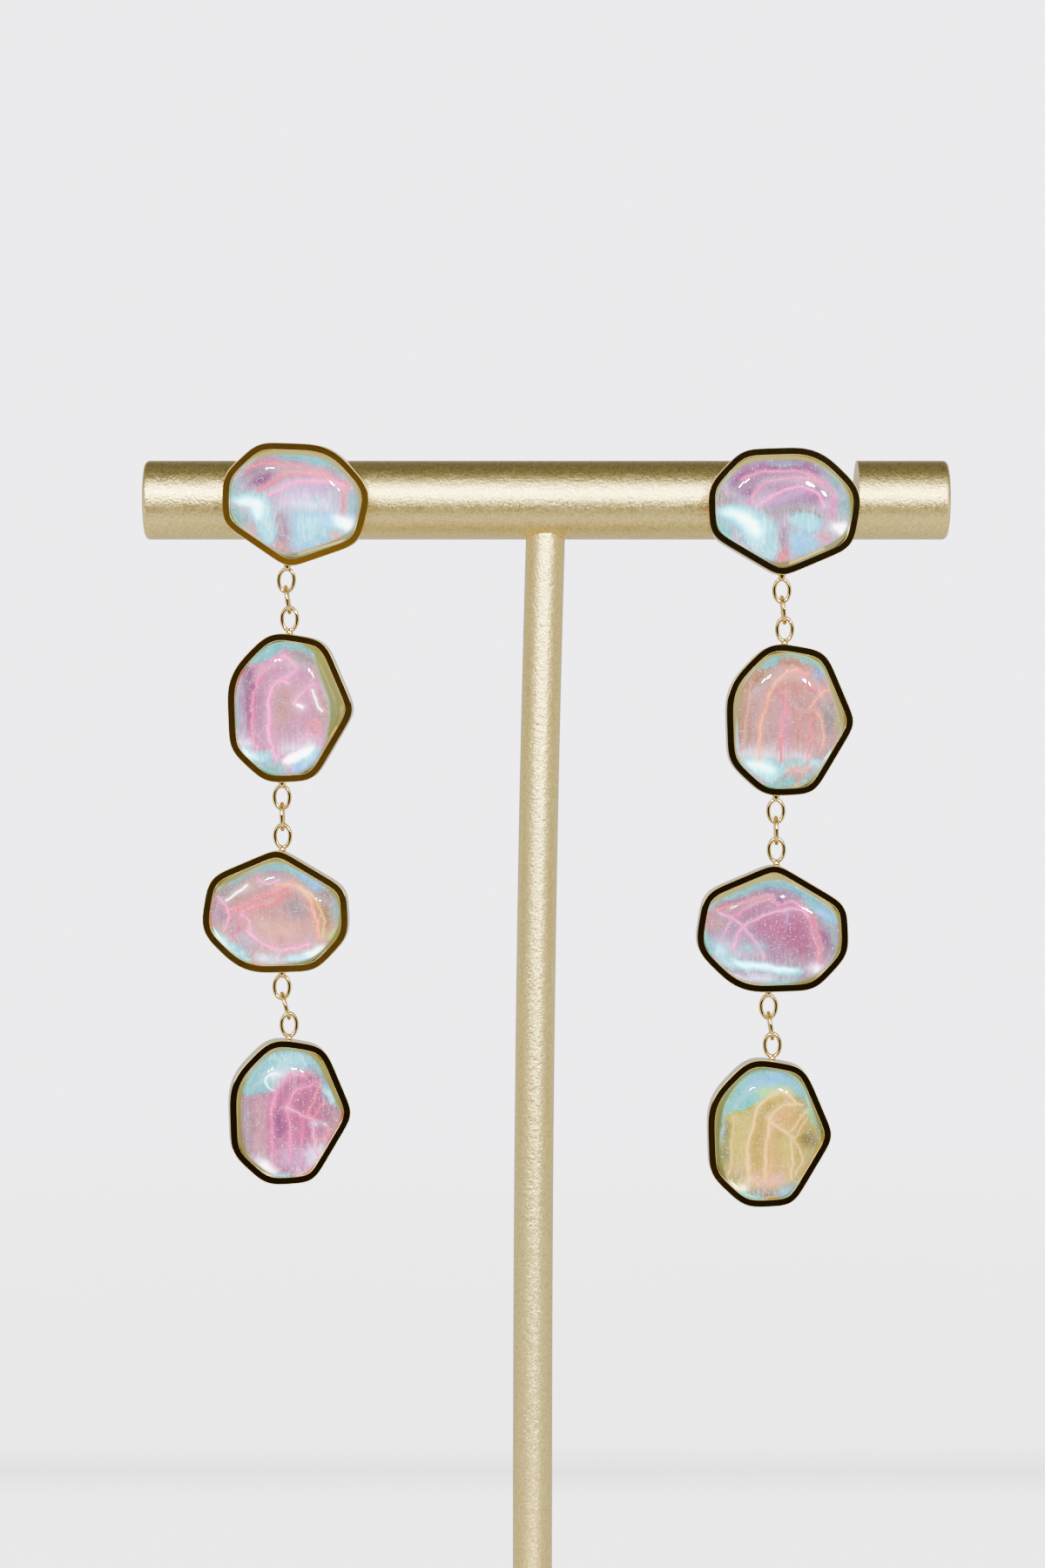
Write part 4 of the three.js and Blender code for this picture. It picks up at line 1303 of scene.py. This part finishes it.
def foil(label, glow_strength):
    made = Nodes(bpy.data.materials.new(f"Foil {label.replace('_', ' ')}"))
    place = made.place()
    paint = made.add("ShaderNodeAttribute", attribute_name="Paint").outputs["Color"]
    # Finish brings where the painted glare lies, the relief and the inside of the band's edge.
    glare_and_relief = made.add("ShaderNodeSeparateColor")
    made.link(made.add("ShaderNodeAttribute", attribute_name="Finish").outputs["Color"], glare_and_relief.inputs[0])
    frost, relief, inner = glare_and_relief.outputs[0], glare_and_relief.outputs[1], glare_and_relief.outputs[2]
    cloud = made.noise(place, 480, 2)
    fine = made.noise(place, 3600, 3, 0.75)
    drawn_out = made.add("ShaderNodeMapping")
    drawn_out.inputs["Scale"].default_value = (4200, 4200, 560)
    made.link(place, drawn_out.inputs["Vector"])
    streak = made.noise(drawn_out.outputs[0], 1, 2, 0.6)
    veil = made.noise(place, 1100, 2, 0.6)
    grain = made.plus(made.times(fine, 1.1), made.times(streak, 0.6))
    grain = made.plus(grain, made.times(made.plus(cloud, veil), 0.5))
    grain = made.math("MAXIMUM", made.minus(grain, 0.32), 0.35)
    tone = made.scaled(paint, grain)
    # Painted glare: streaks brighter than white over the glare patches.
    glare_streaks = made.ramp(streak, ((0.5, 0), (0.66, 1)))
    glare_streaks = made.times(glare_streaks, made.times(frost, 0.25))
    tone = made.mix(glare_streaks, tone, GLARE_STREAK)
    # Painted glints: glitter specks painted brighter than white, the coarser ones fully and the finer ones
    # half way.
    tone = made.mix(made.sparkle(place, 2600, 0.1, 0.9), tone, SPARK)
    tone = made.mix(made.sparkle(place, 5200, 0.2, 0.62), tone, made.mix(0.5, tone, GLINT))
    tone = made.mix(inner, paint, tone)
    near = made.add("ShaderNodeVectorMath", operation="ADD")
    made.link(tone, near.inputs[0])
    near.inputs[1].default_value = (1, 1, 1)
    body = made.add("ShaderNodeVectorMath", operation="DIVIDE")
    made.link(tone, body.inputs[0])
    made.link(near.outputs[0], body.inputs[1])
    body = made.scaled(body.outputs[0], 0.22)
    # The foil gives off its painted colours as light, a painted glow though it is no lamp; its body colour is
    # a dim copy of them.
    made.principled(
        Base_Color=body,
        Metallic=0.0,
        Roughness=0.35,
        Emission_Color=tone,
        Emission_Strength=glow_strength,
        Normal=made.bump(made.plus(relief, made.times(fine, 0.05)), 0.4, 0.0002),
    )
    return made.owner


MATERIALS = {}


def gold(context):
    if "gold" not in MATERIALS:
        MATERIALS["gold"] = polished_gold(tuple(context.scene.earring_metal.gold_colour))
    return MATERIALS["gold"]


def satin(context):
    if "satin" not in MATERIALS:
        MATERIALS["satin"] = satin_gold(tuple(context.scene.earring_stand.satin_colour))
    return MATERIALS["satin"]


def glass():
    if "glass" not in MATERIALS:
        MATERIALS["glass"] = clear_glass()
    return MATERIALS["glass"]


class EARRING_OT_bar(bpy.types.Operator):
    """Makes the cross bar with its two notches"""

    bl_idname = "earring.bar"
    bl_label = "Cross Bar"

    def execute(self, context):
        sizes = context.scene.earring_stand
        length = sizes.bar_length / MM
        radius = sizes.bar_diameter / MM / 2
        bm = bmesh.new()
        along = Matrix.Rotation(math.pi / 2, 4, "Y")
        bmesh.ops.create_cone(
            bm, cap_ends=True, segments=128, radius1=radius, radius2=radius, depth=length, matrix=along
        )
        rounded(bm, [e for e in bm.edges if e.calc_face_angle(0) > END_ANGLE], BAR_EDGE, 4)
        cuts = [sign * (NOTCH_INNER_END + reach) for sign in (-1, 1) for reach in (0, NOTCH_WIDTH)]
        for x in cuts:
            everything = bm.verts[:] + bm.edges[:] + bm.faces[:]
            bmesh.ops.bisect_plane(bm, geom=everything, plane_co=(x, 0, 0), plane_no=(1, 0, 0))
        inside = []
        for face in bm.faces:
            middle = face.calc_center_median()
            if NOTCH_INNER_END < abs(middle.x) < NOTCH_INNER_END + NOTCH_WIDTH and middle.z > 0:
                inside.append(face)
        bmesh.ops.delete(bm, geom=inside, context="FACES")
        for x in cuts:
            rim = [e for e in bm.edges if e.is_boundary and all(abs(v.co.x - x) < NEAR for v in e.verts)]
            low = sorted({v for e in rim for v in e.verts}, key=lambda v: abs(v.co.z))[:2]
            cross = bm.edges.new(low)
            bmesh.ops.contextual_create(bm, geom=rim + [cross])
        low, high = NOTCH_INNER_END - NEAR, NOTCH_INNER_END + NOTCH_WIDTH + NEAR
        for sign in (-1, 1):
            loose = [e for e in bm.edges if len(e.link_faces) == 1]
            seat = [e for e in loose if all(low < v.co.x * sign < high for v in e.verts)]
            bmesh.ops.contextual_create(bm, geom=seat)
        bmesh.ops.recalc_face_normals(bm, faces=bm.faces)
        bar = finished(bm, "bar_body", Matrix.Translation((0, 0, BAR_HEIGHT)), satin(context))
        weighted(bar)
        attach(bar, "stand")
        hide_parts("stand_bar")
        return {"FINISHED"}


class EARRING_OT_rod(bpy.types.Operator):
    """Makes the upright rod, which bows a little"""

    bl_idname = "earring.rod"
    bl_label = "Upright Rod"

    def execute(self, context):
        radius = context.scene.earring_stand.rod_diameter / MM / 2
        bm = bmesh.new()
        reach = ROD_HEAD - ROD_FOOT
        knots = [Vector((-ROD_BEND, 0, ROD_FOOT + reach * share)) for share in ROD_KNOTS]
        knots.append(Vector((0, 0, ROD_HEAD)))
        steps = sides = 48
        ring = bmesh.ops.create_circle(bm, cap_ends=True, segments=sides, radius=radius)["verts"]
        bmesh.ops.translate(bm, vec=knots[0], verts=ring)
        face = list(bm.faces)[0]
        last = knots[0]
        for step in range(1, steps + 1):
            t = step / steps
            weights = ((1 - t) ** 3, 3 * t * (1 - t) ** 2, 3 * t**2 * (1 - t), t**3)
            here = sum((knot * weight for knot, weight in zip(knots, weights)), Vector())
            face = pulled(bm, face, here - last, keep=step == 1)
            last = here
        bmesh.ops.recalc_face_normals(bm, faces=bm.faces)
        rod = finished(bm, "rod_body", Matrix.Identity(4), satin(context))
        weighted(rod)
        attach(rod, "stand")
        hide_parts("stand_rod")
        return {"FINISHED"}


class EARRING_OT_base(bpy.types.Operator):
    """Makes the round base"""

    bl_idname = "earring.base"
    bl_label = "Base Disc"

    def execute(self, context):
        sizes = context.scene.earring_stand
        radius = sizes.base_diameter / MM / 2
        top = sizes.base_thickness / MM
        bm = bmesh.new()
        profile = [(0.0, 0.0), (radius - BASE_FOOT_EDGE, 0.0), (radius, BASE_FOOT_EDGE)]
        for step in range(7):
            angle = step / 6 * math.pi / 2
            reach = radius - BASE_EDGE + BASE_EDGE * math.cos(angle)
            profile.append((reach, top - BASE_EDGE + BASE_EDGE * math.sin(angle)))
        socket, floor = BASE_SOCKET_RADIUS, top - BASE_SOCKET_DEPTH
        profile += [(radius * 0.5, top), (2.5, top), (socket, top - 0.3), (socket, floor), (0.0, floor)]
        verts = [bm.verts.new((r, 0, z)) for r, z in profile]
        for pair in zip(verts, verts[1:]):
            bm.edges.new(pair)
        spun(bm, (0, 0, 1), 144)
        bmesh.ops.recalc_face_normals(bm, faces=bm.faces)
        base = finished(bm, "base_disc", Matrix.Translation((-ROD_BEND, 0, 0)), satin(context))
        weighted(base)
        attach(base, "stand")
        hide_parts("stand_base")
        return {"FINISHED"}


class EARRING_OT_bezels(bpy.types.Operator):
    """Makes the bezels with their soldered links, and the studs' posts"""

    bl_idname = "earring.bezels"
    bl_label = "Bezels"

    def execute(self, context):
        metal = context.scene.earring_metal
        for label, place in hanging_places().items():
            row = place["row"]
            bm = cup(row, 8, metal.edge_round / MM)
            for share, side in (("top", 1), ("bottom", -1)):
                if share not in row:
                    continue
                centre = fixed_link_centre(row, row[share], side)
                joined(bm, oval(FIXED_LINK_HEIGHT, metal.wire_sides), Matrix.Translation(centre))
                foot = centre - Vector((0, 0, side * (FIXED_LINK_HEIGHT / 2 + SOLDER_SINK)))
                joined(bm, solder(side), Matrix.Translation(foot))
            if place["number"] == 1:
                rise = place["spec"]["post_rise"]
                length = BAR_DIAMETER + 2 * STUD_CLEARANCE + EAR_BACK_DEPTH + POST_TAIL
                root, tip = Vector((0, -POST_ROOT, rise)), Vector((0, length, rise))
                post = rod_between(root, tip, POST_DIAMETER, 24)
                joined(bm, post, Matrix.Identity(4))
            piece = finished(bm, f"{label}_setting", place["bezel"], gold(context), BEZEL_DEPTH)
            weighted(piece)
            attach(piece, body_of(place["side"], place["number"]))
            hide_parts(f"{label}_bezel")
        return {"FINISHED"}


class EARRING_OT_links(bpy.types.Operator):
    """Makes the loose links and the ear backs"""

    bl_idname = "earring.links"
    bl_label = "Links and Ear Backs"

    def execute(self, context):
        metal = context.scene.earring_metal
        for label, place in hanging_places().items():
            if "link" in place:
                link = oval(LOOSE_LINK_HEIGHT, metal.wire_sides)
                piece = finished(link, f"{label}_oval", place["link"], gold(context))
                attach(piece, body_of(place["side"], place["number"]))
                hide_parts(f"{label}_loose_link")
            else:
                behind = place["stud"] @ Matrix.Translation((0, BAR_DIAMETER + 2 * STUD_CLEARANCE, 0))
                piece = finished(ear_back_shape(48), f"{place['side']}_nut", behind, gold(context))
                weighted(piece)
                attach(piece, "stand")
                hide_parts(f"{place['side']}_ear_back")
        return {"FINISHED"}


class EARRING_OT_stones(bpy.types.Operator):
    """Makes the clear stones and the foil behind them"""

    bl_idname = "earring.stones"
    bl_label = "Stones"

    def execute(self, context):
        looks = context.scene.earring_stones
        for label, place in hanging_places().items():
            row = place["row"]
            body = body_of(place["side"], place["number"])
            clear = glass_body(row, looks.outline_steps)
            stone = finished(clear, f"{label}_glass", place["bezel"], glass())
            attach(stone, body)
            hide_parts(f"{label}_stone")
            sheet = foil_sheet(row, looks.foil_cells, label)
            backing = finished(sheet, f"{label}_foil", place["bezel"], foil(label, looks.foil_glow))
            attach(backing, body)
        return {"FINISHED"}


class EARRING_OT_stage(bpy.types.Operator):
    """Sets the floor, the light and the camera"""

    bl_idname = "earring.stage"
    bl_label = "Stage"

    def execute(self, context):
        look = context.scene.earring_stage
        self.make_floor(context, look)
        self.make_world(context, look)
        self.make_lights(context)
        lens = bpy.data.cameras.new("Camera")
        lens.sensor_fit = "VERTICAL"
        lens.sensor_height = 36
        lens.lens = look.lens
        lens.clip_start = 0.01
        camera = bpy.data.objects.new("Camera", lens)
        camera.location = CAMERA_PLACE
        camera.rotation_euler = (math.pi / 2, 0, 0)
        context.scene.collection.objects.link(camera)
        context.scene.camera = camera
        return {"FINISHED"}

    def make_floor(self, context, look):
        bm = bmesh.new()
        bmesh.ops.create_circle(bm, cap_ends=True, segments=96, radius=FLOOR_RADIUS)
        mesh = bpy.data.meshes.new("floor")
        bm.to_mesh(mesh)
        bm.free()
        made = Nodes(bpy.data.materials.new("Pale floor"))
        place = made.place()
        axes = made.add("ShaderNodeSeparateXYZ")
        made.link(place, axes.inputs[0])
        # A darker strip of painted shade across the floor behind the stand.
        strip = made.math("ABSOLUTE", made.minus(axes.outputs["Y"], FLOOR_STRIP))
        strip = made.ramp(made.times(strip, 30), ((0.0, (0.72, 0.72, 0.74)), (0.6, 1)))
        tone = made.mix(1.0, (*look.floor_colour, 1), strip, "MULTIPLY")
        far = made.add("ShaderNodeVectorMath", operation="LENGTH")
        made.link(place, far.inputs[0])
        fade = made.ramp(made.times(far.outputs["Value"], 1.4), ((0.3, 0), (0.85, 1)))
        solid = made.add("ShaderNodeBsdfPrincipled")
        solid.inputs["Roughness"].default_value = 0.6
        made.link(tone, solid.inputs["Base Color"])
        made.link(tone, solid.inputs["Emission Color"])
        seen = made.add("ShaderNodeLightPath").outputs["Is Camera Ray"]
        made.link(made.times(seen, 3.6), solid.inputs["Emission Strength"])
        ahead = made.minus(made.times(axes.outputs["Y"], -1), 0.1)
        hidden = made.times(made.times(ahead, 25, clamp=True), made.minus(1.0, seen))
        fade = made.math("MAXIMUM", fade, hidden)
        open_air = made.add("ShaderNodeBsdfTransparent")
        mixed = made.add("ShaderNodeMixShader")
        made.link(fade, mixed.inputs["Fac"])
        made.link(solid.outputs[0], mixed.inputs[1])
        made.link(open_air.outputs[0], mixed.inputs[2])
        output = made.add("ShaderNodeOutputMaterial")
        made.link(mixed.outputs[0], output.inputs["Surface"])
        mesh.materials.append(made.owner)
        floor = bpy.data.objects.new("floor", mesh)
        context.scene.collection.objects.link(floor)

    def make_world(self, context, look):
        world = bpy.data.worlds.new("Soft studio")
        context.scene.world = world
        made = Nodes(world)
        way = made.add("ShaderNodeTexCoord").outputs["Generated"]
        axes = made.add("ShaderNodeSeparateXYZ")
        made.link(way, axes.inputs[0])
        height = made.plus(made.times(axes.outputs["Z"], 0.5), 0.5)
        front = made.ramp(
            height,
            (
                (0.0, (0.9, 0.84, 0.74)),
                (0.14, (0.6, 0.55, 0.46)),
                (0.2, (0.02, 0.016, 0.012)),
                (0.555, (0.012, 0.01, 0.008)),
                (0.59, 1.0),
                (0.62, 1.0),
                (0.7, 0.9),
                (0.8, 0.5),
                (0.9, 0.32),
                (1.0, 0.2),
            ),
        )
        strong = made.ramp(height, ((0.555, 0), (0.61, 1), (0.76, 0.85), (0.9, 0)))
        front = made.mix(strong, front, made.scaled(front, 5.5))
        greys = ((0.0, 1.4), (0.3, 1.4), (0.5, 0.8), (0.68, 0.6), (0.84, 0.16), (1.0, 0.14))
        around = made.ramp(height, greys)
        around = made.scaled(around, 1.1)
        ahead = made.minus(made.times(axes.outputs["Y"], -1), 0.55)
        studio = made.mix(made.times(ahead, 4, clamp=True), around, front)
        warm = made.add("ShaderNodeVectorMath", operation="DOT_PRODUCT")
        made.link(way, warm.inputs[0])
        warm.inputs[1].default_value = Vector(WARM_SPOT).normalized()
        nearness = made.times(made.minus(warm.outputs["Value"], 0.98), 50, clamp=True)
        glow = made.ramp(
            nearness,
            (
                (0.55, 0),
                (0.78, (0.05, 0.035, 0.016)),
                (0.89, (0.16, 0.12, 0.06)),
                (0.94, (0.2, 0.15, 0.06)),
                (0.97, (0.4, 0.26, 0.08)),
            ),
        )
        studio = made.mix(1.0, studio, glow, "ADD")
        lit = made.add("ShaderNodeBackground")
        made.link(studio, lit.inputs["Color"])
        seen = made.add("ShaderNodeBackground")
        seen.inputs["Color"].default_value = (*look.background, 1)
        path = made.add("ShaderNodeLightPath")
        mixed = made.add("ShaderNodeMixShader")
        made.link(path.outputs["Is Camera Ray"], mixed.inputs["Fac"])
        made.link(lit.outputs[0], mixed.inputs[1])
        made.link(seen.outputs[0], mixed.inputs[2])
        output = made.add("ShaderNodeOutputWorld")
        made.link(mixed.outputs[0], output.inputs["Surface"])

    def make_lights(self, context):
        for name, bearing, height, power in (
            ("lamp_left", -17, 21, 4.4),
            ("lamp_left_twin", -12.5, 21, 4.4),
            ("lamp_right", 13, 13, 3.6),
            ("lamp_right_twin", 18, 11, 3.6),
        ):
            lamp = bpy.data.lights.new(name, "AREA")
            lamp.shape = "DISK"
            lamp.size = LAMP_SIZE
            lamp.energy = power
            piece = bpy.data.objects.new(name, lamp)
            azimuth, rise = math.radians(bearing), math.radians(height)
            level = math.cos(rise)
            way = Vector((math.sin(azimuth) * level, -math.cos(azimuth) * level, math.sin(rise)))
            piece.location = Vector(LAMP_AIM) + way * LAMP_DISTANCE
            piece.rotation_euler = way.to_track_quat("Z", "Y").to_euler()
            context.scene.collection.objects.link(piece)


class EARRING_PT_panel(bpy.types.Panel):
    """Lists the steps that build the earrings and their stand"""

    bl_idname = "EARRING_PT_panel"
    bl_label = "Drop Earrings"
    bl_space_type = "VIEW_3D"
    bl_region_type = "UI"
    bl_category = "Earrings"

    def draw(self, context):
        for group in ("earring_stand", "earring_metal", "earring_stones", "earring_stage"):
            box = self.layout.box()
            settings = getattr(context.scene, group)
            for name in settings.__annotations__:
                box.prop(settings, name)
        for step in STEPS:
            self.layout.operator(step.bl_idname)


STEPS = (
    EARRING_OT_bar,
    EARRING_OT_rod,
    EARRING_OT_base,
    EARRING_OT_bezels,
    EARRING_OT_links,
    EARRING_OT_stones,
    EARRING_OT_stage,
)
SETTINGS = {
    "earring_stand": StandSettings,
    "earring_metal": SettingSettings,
    "earring_stones": StoneSettings,
    "earring_stage": StageSettings,
}


def register():
    for name, group in SETTINGS.items():
        bpy.utils.register_class(group)
        setattr(bpy.types.Scene, name, PointerProperty(type=group))
    for step in STEPS:
        bpy.utils.register_class(step)
    bpy.utils.register_class(EARRING_PT_panel)


def unregister():
    bpy.utils.unregister_class(EARRING_PT_panel)
    for step in reversed(STEPS):
        bpy.utils.unregister_class(step)
    for name, group in SETTINGS.items():
        delattr(bpy.types.Scene, name)
        bpy.utils.unregister_class(group)


def main():
    register()
    bpy.ops.earring.bar()
    bpy.ops.earring.rod()
    bpy.ops.earring.base()
    bpy.ops.earring.bezels()
    bpy.ops.earring.links()
    bpy.ops.earring.stones()
    bpy.ops.earring.stage()


if __name__ == "__main__":
    main()
